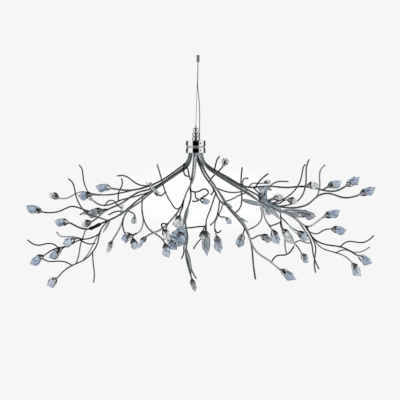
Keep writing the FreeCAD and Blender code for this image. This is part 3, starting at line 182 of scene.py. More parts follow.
# Bough tubes: name, angle on the hub's circle, depth share at the end, bud's tip, pixels
BOUGHS_PX = {
    "left_bough_tubes": [
        ("left_top", 196, -0.15, (95.5, 186),
         [(187, 161), (179, 168.3), (162.5, 179.8), (146, 187), (131, 190.2), (112, 188.5)]),
        ("left_long", 233, -0.34, (54.5, 220.8),
         [(188.3, 163), (180, 170.3), (163, 182.5), (150, 191.8), (139, 199.3), (127, 209.5),
          (115, 217.5), (101, 223.7), (88, 229), (79, 227.3), (70, 222.8)]),
        ("left_drop", 150, 0.3, (106, 254),
         [(186.3, 164.5), (173, 177), (150, 193.5), (137, 204), (127, 211.5), (121, 225),
          (112.5, 240)]),
        ("left_back", 127, 0.5, (80.5, 225.5),
         [(188.8, 164.5), (176, 174.5), (160, 184), (150, 189), (138, 192.5), (121, 203.5),
          (104, 211.5), (92, 221.5)]),
    ],
    "front_bough_tubes": [
        ("front_drop", 254, -0.5, (195, 292),
         [(193.5, 163), (191.7, 178), (190.5, 187), (190.8, 197), (187, 210), (185.5, 224),
          (187.5, 238), (186, 249), (188.5, 267), (191.5, 277.5)]),
        ("front_left", 275, -0.72, (135, 249),
         [(195.5, 165), (193, 180), (187, 192), (182, 205), (173.5, 217.5), (160, 230),
          (147, 236)]),
    ],
    "rear_bough_tubes": [
        ("rear_inner", 99, 0.3, (232.5, 207),
         [(198.6, 163), (205.3, 177), (213.8, 189), (219.2, 199.6), (225.5, 205)]),
        ("rear_drop", 80, 0.85, None,
         [(201.4, 165), (210.4, 180), (219.8, 193.8), (227, 206), (238, 219), (245.8, 229.5),
          (251.5, 245), (253.5, 264), (255.7, 279.5)]),
        ("rear_right", 42, 0.55, (297, 280),
         [(202.8, 166), (211.8, 181.5), (222, 196), (231, 209), (241, 219.5), (249, 235),
          (256.5, 251.5), (269, 260.5), (280, 269.5)]),
    ],
    "right_bough_tubes": [
        ("right_top", 328, -0.22, (359.5, 176.5),
         [(204.5, 161.5), (213, 169), (230, 178.7), (247, 187), (266, 186.3), (288, 187.5),
          (301, 186.5), (320, 189.5), (336, 190.8), (345, 186.5)]),
        ("right_back", 21, 0.38, (279.5, 244.5),
         [(205.8, 165.3), (217, 174.3), (236, 185.8), (253, 196), (262, 206), (265.5, 219),
          (272, 229)]),
        ("right_long", 357, 0.1, (376, 187),
         [(205.3, 164), (215, 171.8), (233, 182.2), (250, 191), (264, 199), (278, 206),
          (294, 207.7), (309, 203.5), (318, 196), (329, 193.5), (343, 197.5), (359, 195)]),
        ("right_front", 300, -0.5, (340, 210),
         [(204.6, 164.8), (216.5, 174.8), (235, 186.3), (253, 197.5), (268, 206.5), (285, 213),
          (298, 221), (308, 226.5), (315.5, 222.5), (323, 217)]),
    ],
}

# Stems: name, what it is brazed to, depth share at the end, bud's tip or None, pixels
STEMS_PX = {
    "left_upper": [
        ("lu_comb", "left_long", -0.1, (88, 197),
         [(150, 191.8), (133, 197), (120, 200.5), (108, 205), (98, 204), (93.5, 200.8)]),
        ("lu_high", "left_top", -0.45, None,
         [(149, 186), (140, 185), (132, 180.3), (124.5, 175.8), (117.5, 176)]),
        ("lu_spike", "lu_comb", 0.1, None,
         [(118.5, 201), (118.6, 193), (122.3, 183.5), (121.5, 178.5)]),
        ("lu_curl", "lu_comb", -0.35, None,
         [(105, 205), (109, 200.8), (114, 201), (118, 205.5), (122, 208)]),
        ("lu_arm", "left_top", 0.12, (77.5, 195.5),
         [(143, 188), (125, 192), (108, 194.8), (93, 194.8)]),
        ("lu_far", "lu_arm", 0.42, (48.5, 193),
         [(99, 194.8), (90, 193.2), (82, 191.8), (75, 194), (67, 198), (59, 198.3)]),
        ("lu_horn", "lu_far", 0.6, None,
         [(87.5, 193), (84, 183), (82.5, 173.5), (81.3, 168.4), (78.6, 164.8)]),
        ("lu_sweep", "left_long", 0.2, None,
         [(108, 220.5), (99, 217.5), (88, 214), (80.5, 206), (76, 196), (73.9, 186.5), (72.6, 182.9),
          (68.2, 178.8)]),
        ("lu_reach", "left_back", 0.85, (24.5, 205.5),
         [(105, 210.8), (88, 211), (79, 208), (71, 206.5), (62, 210), (51, 212.7), (41.5, 212)]),
        ("lu_snag", "lu_reach", 0.62, None, [(89, 211), (84, 212.6), (79.5, 214.8)]),
        ("lu_leaf", "left_back", 0.12, (85.5, 214.3), [(107.5, 209.8), (102.5, 209.6)]),
    ],
    "left_lower": [
        ("ll_arm", "left_long", -0.62, (47.5, 285),
         [(108.5, 220.5), (101, 230), (98, 242), (92, 253), (83, 260.5), (72, 265.5), (62, 273),
          (58, 277.5)]),
        ("ll_far", "ll_arm", -0.95, (30.5, 263.5),
         [(99.5, 234), (89, 238.5), (81, 239.6), (70, 245), (56, 248.5), (45, 255)]),
        ("ll_bow", "ll_far", -0.4, None, [(81, 240), (86, 242.8), (90, 243.9), (95.5, 243)]),
        ("ll_fall", "left_long", 0.12, None,
         [(86.3, 229.2), (83.5, 236), (80.5, 245), (78.8, 255), (75.8, 264)]),
        ("ll_tip", "ll_far", -0.3, None, [(84, 239), (75, 237), (66, 236.7), (60.5, 236), (57, 232)]),
        ("ll_bud", "ll_far", -0.82, (62.5, 243.5), [(80.5, 240), (76.5, 238.6)]),
        ("ll_wave", "ll_far", -0.7, None,
         [(60, 247.7), (54, 244), (47, 243.5), (38.5, 245), (31, 242), (28, 239.5)]),
        ("ll_low", "ll_far", -0.6, (49, 257.8), [(67, 246), (62.5, 248.6)]),
        ("ll_twin", "ll_arm", -0.15, None, [(101, 231), (95, 241), (88, 254), (83.5, 259.5)]),
        ("ll_level", "ll_arm", -0.35, None,
         [(73, 265.3), (68, 262.7), (58, 261), (47.5, 260.8), (40.5, 256.5)]),
        ("ll_plumb", "ll_arm", -0.6, None, [(92.5, 252.5), (93.6, 264), (94.7, 275), (94, 282.5)]),
    ],
    "left_inner": [
        ("li_long", "left_long", -0.5, (169, 257.8),
         [(142.7, 196.8), (142, 206), (143.8, 219), (150, 230), (158, 235.3), (164.8, 242.5)]),
        ("li_turn", "li_long", -0.12, (121, 238.8),
         [(142.3, 212), (143, 224), (139, 232), (133.3, 234.6)]),
        ("li_short", "left_drop", 0.05, None, [(123.5, 219.5), (122.8, 227), (125, 233.5), (127.5, 238)]),
        ("li_hang", "li_turn", -0.3, (135.3, 250), [(136, 234.2), (132.8, 237.6)]),
        ("li_pip", "left_drop", 0.33, (133, 224.5), [(127.5, 211), (132, 212.8), (134.8, 215.6)]),
        ("li_nib", "left_long", -0.42, None, [(123.5, 212), (119, 211.2), (114, 212.2), (109, 214.8)]),
        ("li_rake", "front_left", -0.62, None,
         [(181, 206.8), (177, 209), (172, 204), (167, 195.5), (162.5, 182), (157.3, 164.5)]),
        ("li_hook", "li_rake", -0.8, None, [(165, 191.5), (162, 195.3), (158.5, 195.3), (155, 192.5)]),
        ("li_link", "left_top", 0.16, None, [(185.5, 164), (188, 170), (189, 175), (190.5, 180)]),
        ("li_crook", "left_top", -0.24, None, [(184.4, 165.6), (183.8, 170.5), (185, 175), (188.5, 176.5)]),
    ],
    "centre": [
        ("ce_pair", "front_drop", -0.3, None,
         [(186.3, 248), (190, 260), (191.8, 270), (196.5, 278.5)]),
        ("ce_loop", "front_drop", -0.45, None,
         [(190.7, 191), (197, 192), (206, 189.3), (208.3, 192.5), (203, 197), (195, 201.4), (192.3, 201)]),
        ("ce_rose", "ce_loop", -0.6, (210.3, 201.5), [(195.3, 192), (195.5, 195.5), (199.2, 199.4)]),
        ("ce_small", "front_left", -0.85, (177, 228.8), [(183.5, 202.5), (182.5, 208), (180, 214.5)]),
        ("ce_tuft", "front_left", -0.3, (177, 250), [(172, 219.5), (166.8, 226), (168, 236)]),
        ("ce_tail", "front_drop", -0.62, None, [(187, 241.5), (184.3, 245), (184, 251), (181.5, 258.5)]),
        ("ce_bar", "front_drop", -0.1, None, [(186, 227.5), (189.5, 227.8), (198, 226.7), (206, 226.3)]),
        ("ce_plum", "rear_inner", 0.2, (207.3, 256.5),
         [(215, 193), (213.5, 200), (210.5, 209), (206.3, 221), (206.3, 230)]),
        ("ce_slant", "rear_inner", -0.05, None, [(219, 200), (218, 212), (214.5, 221), (210, 225.5)]),
        ("ce_pear", "rear_right", 0.32, (220.7, 253.8),
         [(225, 199.5), (219.5, 213), (214.8, 224), (216.3, 235)]),
        ("ce_drop", "ce_bar", -0.2, (202.3, 240.5), [(204, 226.5), (203.2, 230)]),
        ("ce_barb", "ce_plum", 0.12, None, [(206.3, 225), (202.5, 237), (198, 242), (193.5, 249)]),
        ("ce_bead", "front_left", -0.5, (185, 243), [(177, 213.5), (176, 222), (178.5, 231)]),
        ("ce_knot", "front_left", -0.95, (170.5, 240), [(166.5, 224.5), (163, 228.5)]),
        ("ce_nib", "rear_inner", 0.1, None, [(213.4, 188.6), (213.2, 192.3), (210.6, 194.9)]),
        ("ce_spur", "ce_pear", -0.2, None, [(215.4, 229.6), (217.3, 232.6), (220.9, 230.6)]),
        ("ce_berry", "ce_slant", -0.2, (232, 223.5), [(218.3, 214.5), (221, 217), (225.5, 217.5)]),
    ],
    "right_inner": [
        ("ri_spur", "right_top", -0.5, None, [(214.5, 169.9), (215.8, 164), (216.8, 160.4), (219.3, 156.6)]),
        ("ri_bloom", "rear_inner", 0.4, (227.3, 157.5),
         [(208.5, 182.5), (213, 176.5), (219, 170.8), (223, 166)]),
        ("ri_level", "rear_drop", 0.5, None,
         [(216, 187.5), (222, 190.3), (230, 192.3), (241, 191.7), (248, 190)]),
        ("ri_cross", "rear_drop", 0.35, None, [(225, 202), (233, 198.7), (241, 194.5), (249, 192.5)]),
        ("ri_mast", "rear_drop", 0.8, None,
         [(231, 211.2), (234.3, 212.6), (238.8, 209.8), (241.8, 201), (241.2, 184), (242.4, 167.3)]),
        ("ri_nook", "right_top", -0.05, None, [(243, 185.3), (243.3, 179.8), (245, 178.3), (248.5, 178.8)]),
        ("ri_pear", "rear_drop", 0.85, (238.3, 248), [(245.3, 229), (243.3, 233.5)]),
        ("ri_rise", "rear_drop", 0.19, None,
         [(245.8, 230), (253.5, 227.5), (260, 222), (262, 213), (260.5, 207.5)]),
        ("ri_dip", "rear_drop", 0.7, (272.3, 240.5),
         [(247.3, 233), (251.5, 238.8), (256, 237), (260.5, 235.3)]),
        ("ri_fork", "right_back", 0.25, None, [(269.8, 225.5), (275, 224.6), (280.8, 222)]),
        ("ri_pale", "right_top", 0.05, (271, 180.5),
         [(248.5, 186.9), (251.5, 184), (257, 183.3), (263.5, 183.2)]),
        ("ri_prong", "right_top", -0.35, None, [(255.5, 187), (258, 183), (263, 177.5), (268, 173.8)]),
        ("ri_reed", "right_top", -0.12, None, [(270, 186.5), (275, 182.6), (281, 181.4), (288.5, 181.7)]),
        ("ri_first", "right_long", -0.2, (262.3, 188.5), [(259, 196), (261, 198.5)]),
        ("ri_second", "right_long", -0.18, (283.5, 195.5), [(268.5, 201.5), (272.5, 198.8)]),
        ("ri_fourth", "right_top", 0.12, (273, 207.5), [(252.8, 187), (258.5, 193), (263, 199)]),
        ("ri_fifth", "right_long", -0.35, (297.5, 201.5), [(273, 203.6), (280, 203), (286.5, 199.8)]),
        ("ri_third", "right_back", 0.3, (271.5, 214.5), [(261.5, 205), (264.8, 208)]),
    ],
    "right_upper": [
        ("ru_mast", "right_long", -0.55, None,
         [(279, 206.2), (290, 204.5), (298.5, 200), (304, 191), (305.9, 179), (306.4, 166), (308.8, 159.6)]),
        ("ru_slim", "right_long", 0.2, None,
         [(272, 203), (284, 198.8), (295, 190), (301, 179), (303, 169), (304.1, 166), (305.7, 164.3)]),
        ("ru_hook", "right_long", -0.12, None,
         [(317, 197), (319.7, 187), (320, 171.5), (320.8, 169.3), (325.1, 164.9)]),
        ("ru_pearl", "right_top", -0.5, (319, 184.3), [(301, 186.5), (305.8, 186)]),
        ("ru_petal", "right_top", -0.02, (341.8, 180.8), [(322.5, 189.8), (327, 187.3)]),
    ],
    "right_lower": [
        ("rl_drop", "right_long", 0.5, None,
         [(280.5, 206.5), (280.5, 214), (281.8, 225), (284.7, 237), (285.5, 248), (287.3, 255)]),
        ("rl_thorn", "rear_right", 0.8, None,
         [(272.5, 262.3), (277, 256), (286, 255), (291.5, 251), (294.3, 246.5)]),
        ("rl_bell", "rl_drop", 0.72, (308.8, 263), [(284.5, 236), (290, 240.5), (297, 246), (302, 253.5)]),
        ("rl_cup", "rl_drop", 0.08, (308.8, 240.5), [(280.8, 216), (285, 221), (291, 227), (297, 230.8)]),
        ("rl_fan", "right_front", -0.2, (316.5, 216.3), [(280, 211.2), (289, 210.3), (299, 212.3)]),
        ("rl_leaf", "rl_drop", -0.1, (294.5, 244), [(281.2, 220), (281.8, 228.5)]),
        ("rl_wisp", "rl_bell", 0.4, None, [(293, 242.8), (301, 240.8), (307, 243), (311.5, 242.8)]),
        ("rl_plumb", "right_front", 0.05, None,
         [(297.5, 221), (305, 231), (311, 242), (313.6, 256), (319, 269)]),
        ("rl_stray", "right_front", -0.1, None,
         [(304, 225.5), (311, 236), (315.6, 249), (314.2, 261), (315.5, 272.5)]),
        ("rl_long", "right_front", -0.6, (372, 263),
         [(307, 226.8), (313, 238), (326, 244.5), (341, 247), (357, 255.3)]),
        ("rl_even", "rl_long", -0.85, (346, 230),
         [(309.5, 231.5), (316, 233.7), (323, 230.2), (330, 228.8)]),
        ("rl_crest", "rl_long", -0.8, None,
         [(340, 247), (346, 241.8), (361, 242.4), (366, 241), (373, 235.3)]),
        ("rl_low", "rl_long", -0.3, (360.7, 276.3),
         [(313, 238), (321, 247.5), (331, 251.3), (345, 256.5), (351.5, 262.3)]),
        ("rl_ripple", "rl_low", -0.15, None,
         [(336, 253), (343, 249.8), (356, 252.3), (363, 251), (369.5, 247)]),
    ],
}

# Region of the buds that the bough tubes carry
BOUGH_BUDS = {
    "left_upper": ("left_top", "left_long", "left_back"),
    "left_inner": ("left_drop",),
    "centre": ("front_drop", "front_left"),
    "right_inner": ("rear_inner", "right_back"),
    "right_upper": ("right_top", "right_long"),
    "right_lower": ("rear_right", "right_front"),
}

# Numbers of the kinds of glass. The darker glass of a kind's petal edges, a painted shade, and the greener
# glass of its every other petal stand further on in the list of finishes, by the steps given here.
LAVENDER, PALE, CLEAR, SMOKY = range(4)
TO_EDGE_SHADE_GLASS = 4
TO_GREEN_GLASS = 8

# Loose glass leaves of the thick clusters: the rod that carries the leaf, its foot and its tip in pixels,
# half its width in metres, its turn about its own length in degrees, and its kind of glass
LEAVES_PX = {
    "left_upper": [
        ("lu_leaf", (104.5, 209), (83.5, 214.5), 0.0085, 20, SMOKY),
        ("left_back", (124, 205), (120.5, 216), 0.006, 10, CLEAR),
    ],
    "left_lower": [
        ("left_long", (111, 220.5), (103, 233), 0.005, 20, SMOKY),
    ],
    "centre": [
        ("front_drop", (187.5, 206), (182.5, 227), 0.008, 15, SMOKY),
        ("front_drop", (186.5, 250), (191.5, 273), 0.0055, 30, SMOKY),
        ("front_drop", (186, 227.5), (176.5, 229.5), 0.008, 20, SMOKY),
        ("front_drop", (186, 231), (171.3, 233), 0.0125, -15, LAVENDER),
        ("front_drop", (186.3, 235), (172, 238), 0.0115, 25, LAVENDER),
        ("front_drop", (186.4, 238), (171.5, 242.5), 0.009, -25, SMOKY),
        ("front_drop", (186.5, 240), (173.5, 247), 0.0095, 20, SMOKY),
        ("ce_tuft", (167.8, 235), (178, 236.5), 0.006, 35, SMOKY),
        ("ce_tuft", (168, 235.8), (178, 241.5), 0.008, -20, LAVENDER),
        ("front_drop", (186.3, 233.5), (179.5, 234.5), 0.005, 60, CLEAR),
        ("front_drop", (186.4, 237), (179.5, 239.5), 0.005, 50, SMOKY),
    ],
    "right_inner": [
        ("rear_right", (227.5, 204), (232.5, 207.5), 0.005, 50, SMOKY),
        ("rear_right", (238.5, 217), (248, 222.5), 0.004, 40, SMOKY),
        ("rear_right", (239, 219), (245, 225), 0.006, -20, SMOKY),
        ("ri_mast", (241.5, 199), (261.5, 204), 0.004, 55, SMOKY),
        ("ri_mast", (241.7, 200), (262, 206), 0.0075, 10, SMOKY),
        ("right_top", (262, 186.7), (266.5, 200.5), 0.011, -20, LAVENDER),
        ("right_top", (266.5, 186.7), (260.5, 199), 0.012, 15, LAVENDER),
        ("right_top", (264, 186.7), (272, 190.5), 0.0075, -35, SMOKY),
        ("right_top", (258.5, 186.9), (263, 193.5), 0.007, 20, SMOKY),
        ("right_long", (258, 195.5), (266.5, 206), 0.009, 30, SMOKY),
        ("right_long", (261, 198), (271.5, 208.5), 0.0105, -20, LAVENDER),
        ("right_long", (264.5, 200), (278, 210.5), 0.0115, 20, SMOKY),
        ("right_long", (262.5, 199), (268, 212.5), 0.0085, -10, SMOKY),
        ("right_long", (268, 202), (273, 214.5), 0.0095, -30, LAVENDER),
        ("right_long", (272, 204), (281.5, 213.5), 0.0095, 25, PALE),
        ("right_front", (270, 207), (279.5, 219), 0.008, -15, SMOKY),
        ("right_long", (266, 201), (281, 197.5), 0.006, 10, CLEAR),
    ],
    "right_lower": [
        ("right_front", (279, 210.8), (303, 210), 0.0055, 35, SMOKY),
        ("right_front", (280, 211.2), (307, 214), 0.0055, -40, SMOKY),
        ("right_front", (281, 211.8), (304, 217.5), 0.0065, -20, SMOKY),
        ("right_front", (283, 212.8), (299, 218.5), 0.0045, 40, SMOKY),
        ("rl_fan", (294, 211), (315, 214), 0.005, 35, SMOKY),
        ("rl_cup", (286, 225), (297.5, 234.5), 0.005, 10, CLEAR),
    ],
}


# Directions that no rod, turned piece or bud runs along, for their first side direction
ROD_ASKEW = Vector((0.1, 1, 0.2))
TURNED_ASKEW = Vector((0.3, 1, 0.1))
BUD_ASKEW = Vector((0.2, 1, 0.35))

# Ends of a rod, as shares of its radius: radius of the end face and length of the chamfer
FOOT_FACE = 0.8
FOOT_CHAMFER = 0.2
TIP_FACE = 0.78
TIP_CHAMFER = 0.25

# Two waves along a rod that together make its section uneven, in radians from ring to ring
LONG_WAVE = 0.6
SHORT_WAVE = 1.7

# A corner's rounding takes up at most this share of an edge. Shorter edges and straighter corners stay.
MOST_ROUNDED_SHARE = 0.45
NO_EDGE = 1e-7
STRAIGHT = 0.999


def at_pixel(column, row, depth):
    """The place on the real light that the photograph shows at a pixel, at the given depth."""
    across = HUB_AXIS_X + (column - HUB_COLUMN_PX) * METRES_PER_PX
    level = UNDERSIDE_Z - (row - HUB_UNDERSIDE_PX) * METRES_PER_PX
    return Vector((across, depth, level))


def route(start, pixels, end_share, power):
    """A rod's points and its slope: through the pixels, the depth growing with the length."""
    flat = [start] + [at_pixel(column, row, start.y) for column, row in pixels]
    runs = [(b - a).length for a, b in zip(flat, flat[1:])]
    end_depth = end_share * HALF_DEPTH
    gone = 0
    points = [start]
    for point, run in zip(flat[1:], runs):
        gone += run
        depth = start.y + (end_depth - start.y) * (gone / sum(runs)) ** power
        points.append(Vector((point.x, depth, point.z)))
    return points, (end_depth - start.y) / sum(runs)


def smooth(points, step, stop=None):
    """Points a step apart on the natural cubic curve through the given ones, up to the stop index."""
    spots = np.array([tuple(p) for p in points])
    runs = np.linalg.norm(np.diff(spots, axis=0), axis=1)
    count = len(spots)
    stop = stop or count - 1
    system = np.eye(count)
    right = np.zeros((count, 3))
    for k in range(1, count - 1):
        system[k, k - 1:k + 2] = runs[k - 1], 2 * (runs[k - 1] + runs[k]), runs[k]
        right[k] = 6 * ((spots[k + 1] - spots[k]) / runs[k] - (spots[k] - spots[k - 1]) / runs[k - 1])
    bend = np.linalg.solve(system, right)
    line = []
    for k in range(stop):
        pieces = max(1, round(runs[k] / step))
        for j in range(pieces):
            b = j / pieces
            a = 1 - b
            bow = (a ** 3 - a) * bend[k] + (b ** 3 - b) * bend[k + 1]
            line.append(Vector(a * spots[k] + b * spots[k + 1] + bow * runs[k] * runs[k] / 6))
    line.append(Vector(spots[stop]))
    return line


def nearest(line, column, row):
    """The point of a rod that passes nearest to a pixel, and the rod's direction there."""
    spot = at_pixel(column, row, 0)
    best = None
    for a, b in zip(line, line[1:]):
        way = b - a
        flat = Vector((way.x, 0, way.z))
        along = Vector((spot.x - a.x, 0, spot.z - a.z)).dot(flat) / flat.dot(flat)
        point = a + way * min(max(along, 0), 1)
        gap = Vector((spot.x - point.x, 0, spot.z - point.z)).length
        if best is None or gap < best[0]:
            best = (gap, point, way.normalized())
    return best[1:]


def frames(line):
    """Direction, side and up at each point of a line, turned as little as possible along it."""
    ways = [(b - a).normalized() for a, b in zip(line, line[1:])]
    ways = [ways[0]] + [(a + b).normalized() for a, b in zip(ways, ways[1:])] + [ways[-1]]
    side = ways[0].cross(ROD_ASKEW).normalized()
    rows = []
    for way in ways:
        side = (side - way * side.dot(way)).normalized()
        rows.append((way, side, way.cross(side)))
    return rows


def around(centre, side, up, radius, turn):
    """The point at a turn round a centre."""
    return centre + side * (radius * math.cos(turn)) + up * (radius * math.sin(turn))


def ring(bm, centre, side, up, radius, sides, squash=1.0):
    """Corners in a ring round a centre, lower by the squash."""
    turns = [2 * math.pi * k / sides for k in range(sides)]
    return [bm.verts.new(centre + side * (radius * math.cos(t)) + up * (radius * squash * math.sin(t)))
            for t in turns]


def bridge(bm, rings, material=0, smooth_faces=True):
    """Joins each ring of a row to the next."""
    for near, far in zip(rings, rings[1:]):
        for k in range(len(near)):
            m = (k + 1) % len(near)
            face = bm.faces.new((near[k], near[m], far[m], far[k]))
            face.smooth = smooth_faces
            face.material_index = material


def skin(bm, rings, material=0):
    """Bridges a row of rings and closes both of its ends."""
    bridge(bm, rings, material)
    for corners in (rings[0][::-1], rings[-1]):
        bm.faces.new(corners).material_index = material


def tube(bm, line, radius, sides, material=0, uneven=0.0, seed=0.0):
    """A round rod along a line, with chamfered ends and a slightly uneven section."""
    rows = frames(line)
    rings = [ring(bm, line[0], *rows[0][1:], radius * FOOT_FACE, sides)]
    for k, (spot, (way, side, up)) in enumerate(zip(line, rows)):
        worn = 1 + uneven * math.sin(seed + SHORT_WAVE * k) * math.sin(seed * 3 + LONG_WAVE * k)
        if k == 0:
            spot = spot + way * (radius * FOOT_CHAMFER)
        elif k == len(line) - 1:
            spot = spot - way * (radius * TIP_CHAMFER)
        rings.append(ring(bm, spot, side, up, radius * worn, sides))
    rings.append(ring(bm, line[-1], *rows[-1][1:], radius * TIP_FACE, sides))
    skin(bm, rings, material)


def turned(bm, centre, profile, sides, axis=Vector((0, 0, 1)), smooth_faces=True):
    """A turned form from (radius, height) pairs, from its foot to its top, closed where a radius is 0."""
    side = axis.cross(TURNED_ASKEW).normalized()
    up = axis.cross(side)
    rows = []
    for radius, height in profile:
        spot = centre + axis * height
        rows.append(ring(bm, spot, side, up, radius, sides) if radius else [bm.verts.new(spot)])
    for low, high in zip(rows, rows[1:]):
        if len(low) == len(high):
            bridge(bm, [low, high], smooth_faces=smooth_faces)
            continue
        for k in range(sides):
            m = (k + 1) % sides
            corners = (low[k], low[m], high[0]) if len(high) == 1 else (high[m], high[k], low[0])
            bm.faces.new(corners).smooth = smooth_faces


def rounded(profile, radius, steps=3):
    """The same profile with each inner corner rounded to the given radius."""
    out = [profile[0]]
    for before, corner, after in zip(profile, profile[1:], profile[2:]):
        c = Vector(corner)
        a = Vector(before) - c
        b = Vector(after) - c
        if min(a.length, b.length) < NO_EDGE or abs(a.normalized().dot(b.normalized())) > STRAIGHT:
            out.append(corner)
            continue
        reach = min(radius, a.length * MOST_ROUNDED_SHARE, b.length * MOST_ROUNDED_SHARE)
        p, q = c + a.normalized() * reach, c + b.normalized() * reach
        for k in range(steps + 1):
            t = k / steps
            out.append(tuple(p * (1 - t) ** 2 + c * (2 * t * (1 - t)) + q * t ** 2))
    out.append(profile[-1])
    return out


def sheet(bm, rows, columns, place, front, back, edge, painted_shade_margin=True):
    """A thin closed sheet of two layers.

    place gives a point from its layer, its share of the length (0 to 1) and its share of the half width (-1
    to 1). front, back and edge are the numbers of their finishes, and a painted shade margin gives the edge's
    finish, a painted shade, also to the outermost faces.
    """
    outer, inner = [[[bm.verts.new(place(layer, i / (rows - 1), j / (columns - 1) * 2 - 1))
                      for j in range(columns)] for i in range(rows)] for layer in (0, 1)]
    for i in range(rows - 1):
        for j in range(columns - 1):
            at_edge = painted_shade_margin and (j in (0, columns - 2) or i == rows - 2)
            for grid, order, inside in ((outer, 1, front), (inner, -1, back)):
                corners = (grid[i][j], grid[i][j + 1], grid[i + 1][j + 1], grid[i + 1][j])[::order]
                face = bm.faces.new(corners)
                face.smooth = True
                face.material_index = edge if at_edge else inside
    rim = [(i, 0) for i in range(rows)] + [(rows - 1, j) for j in range(1, columns)]
    rim += [(i, columns - 1) for i in range(rows - 2, -1, -1)] + [(0, j) for j in range(columns - 2, 0, -1)]
    for (a, b), (c, d) in zip(rim, rim[1:] + rim[:1]):
        bm.faces.new((outer[a][b], outer[c][d], inner[c][d], inner[a][b])).material_index = edge


def link_to_scene(name, data):
    """A new object in the scene."""
    held = bpy.data.objects.new(name, data)
    bpy.context.scene.collection.objects.link(held)
    return held


def finish_piece(bm, name, body, materials, replaced=()):
    """Turns the working mesh into a piece that rides on its body."""
    bmesh.ops.recalc_face_normals(bm, faces=bm.faces)
    mesh = bpy.data.meshes.new(name)
    bm.to_mesh(mesh)
    bm.free()
    for material in materials:
        mesh.materials.append(material)
    piece = link_to_scene(name, mesh)
    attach(piece, body)
    if replaced:
        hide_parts(*replaced)
    return piece


def turn_piece(node, body, material, centre, profile, sides):
    """Turns a chromed piece about an upright axis, in the place of a CAD node."""
    bm = bmesh.new()
    turned(bm, centre, profile, sides)
    finish_piece(bm, node + "_turned", body, [material], [node])


def new_finish(name, base, metallic=0.0, **sockets):
    """A Principled finish with its plain numbers on the shader's own sockets."""
    material = bpy.data.materials.new(name)
    material.use_nodes = True
    shader = material.node_tree.nodes["Principled BSDF"]
    shader.inputs["Base Color"].default_value = (*base, 1)
    shader.inputs["Metallic"].default_value = metallic
    for socket, value in sockets.items():
        shader.inputs[socket.replace("_", " ")].default_value = value
    return material, material.node_tree.nodes, material.node_tree.links, shader


def noise(nodes, links, scale, detail, stretch=(1, 1, 1)):
    """Noise in the piece's own metres."""
    place = nodes.new("ShaderNodeTexCoord")
    mapping = nodes.new("ShaderNodeMapping")
    mapping.inputs["Scale"].default_value = stretch
    links.new(place.outputs["Object"], mapping.inputs["Vector"])
    made = nodes.new("ShaderNodeTexNoise")
    made.inputs["Scale"].default_value = scale
    made.inputs["Detail"].default_value = detail
    links.new(mapping.outputs["Vector"], made.inputs["Vector"])
    return made.outputs["Fac"]


def remap(nodes, links, value, source, target, soft=False):
    """A value stretched from its source range to the target range."""
    reach = nodes.new("ShaderNodeMapRange")
    if soft:
        reach.interpolation_type = "SMOOTHSTEP"
    for socket, number in zip(("From Min", "From Max", "To Min", "To Max"), (*source, *target)):
        reach.inputs[socket].default_value = number
    links.new(value, reach.inputs["Value"])
    return reach.outputs["Result"]


def combine(nodes, links, operation, first, second):
    """Two values joined by one arithmetic operation."""
    both = nodes.new("ShaderNodeMath")
    both.operation = operation
    links.new(first, both.inputs[0])
    links.new(second, both.inputs[1])
    return both.outputs["Value"]


def blend_values(nodes, links, factor, first, second):
    """A value between the first, a number or a socket, and the second socket."""
    mix = nodes.new("ShaderNodeMix")
    links.new(factor, mix.inputs["Factor"])
    if isinstance(first, float):
        mix.inputs["A"].default_value = first
    else:
        links.new(first, mix.inputs["A"])
    links.new(second, mix.inputs["B"])
    return mix.outputs["Result"]


# The range that noise mostly keeps to
NOISE_RANGE = (0.3, 0.7)


def tint(nodes, links, value, low, high, shader):
    """Two shades of the finish, mixed by a noise."""
    ramp = nodes.new("ShaderNodeValToRGB")
    for element, position, tone in zip(ramp.color_ramp.elements, (0.35, 0.68), (low, high)):
        element.position = position
        element.color = (*tone, 1)
    links.new(value, ramp.inputs["Fac"])
    links.new(ramp.outputs["Color"], shader.inputs["Base Color"])


def bump(nodes, links, value, strength, distance, shader):
    """Fine relief on the finish, from a noise."""
    made = nodes.new("ShaderNodeBump")
    made.inputs["Strength"].default_value = strength
    made.inputs["Distance"].default_value = distance
    links.new(value, made.inputs["Height"])
    links.new(made.outputs["Normal"], shader.inputs["Normal"])


def paint_rim_shade(nodes, links, shader, blend, darkest):
    """Paints shade into a finish's colour where its surface turns away from the eye."""
    source = shader.inputs["Base Color"].links[0].from_socket
    facing = nodes.new("ShaderNodeLayerWeight")
    facing.inputs["Blend"].default_value = blend
    tone = remap(nodes, links, facing.outputs["Facing"], (0.35, 0.95), (1, darkest))
    scaled = nodes.new("ShaderNodeVectorMath")
    scaled.operation = "SCALE"
    links.new(source, scaled.inputs[0])
    links.new(tone, scaled.inputs["Scale"])
    links.new(scaled.outputs["Vector"], shader.inputs["Base Color"])


def shade(base, factor):
    """A darker or lighter shade of a colour, by one factor or by one for each of red, green and blue."""
    factors = factor if isinstance(factor, tuple) else (factor,) * 3
    return tuple(min(1, c * f) for c, f in zip(base, factors))


def worked_finish(name, base, metallic, shades, gloss, relief, rim=None, **sockets):
    """A finish that noise works over.

    shades, gloss and relief each hold a noise (its scale, its detail and, where it needs one, its stretch)
    and two numbers: the darkest and the lightest shade, the least and the most roughness, and the strength
    and the depth of a bump. rim holds the blend of a painted shade at the rim and how dark it gets.
    """
    material, nodes, links, shader = new_finish(name, base, metallic, **sockets)
    if shades:
        grain, low, high = shades
        tint(nodes, links, noise(nodes, links, *grain), shade(base, low), shade(base, high), shader)
    grain, low, high = gloss
    worn = remap(nodes, links, noise(nodes, links, *grain), NOISE_RANGE, (low, high))
    links.new(worn, shader.inputs["Roughness"])
    grain, strength, depth = relief
    bump(nodes, links, noise(nodes, links, *grain), strength, depth, shader)
    # Painted shade: the colour darkens where the surface turns away from the eye
    if rim:
        paint_rim_shade(nodes, links, shader, *rim)
    return material


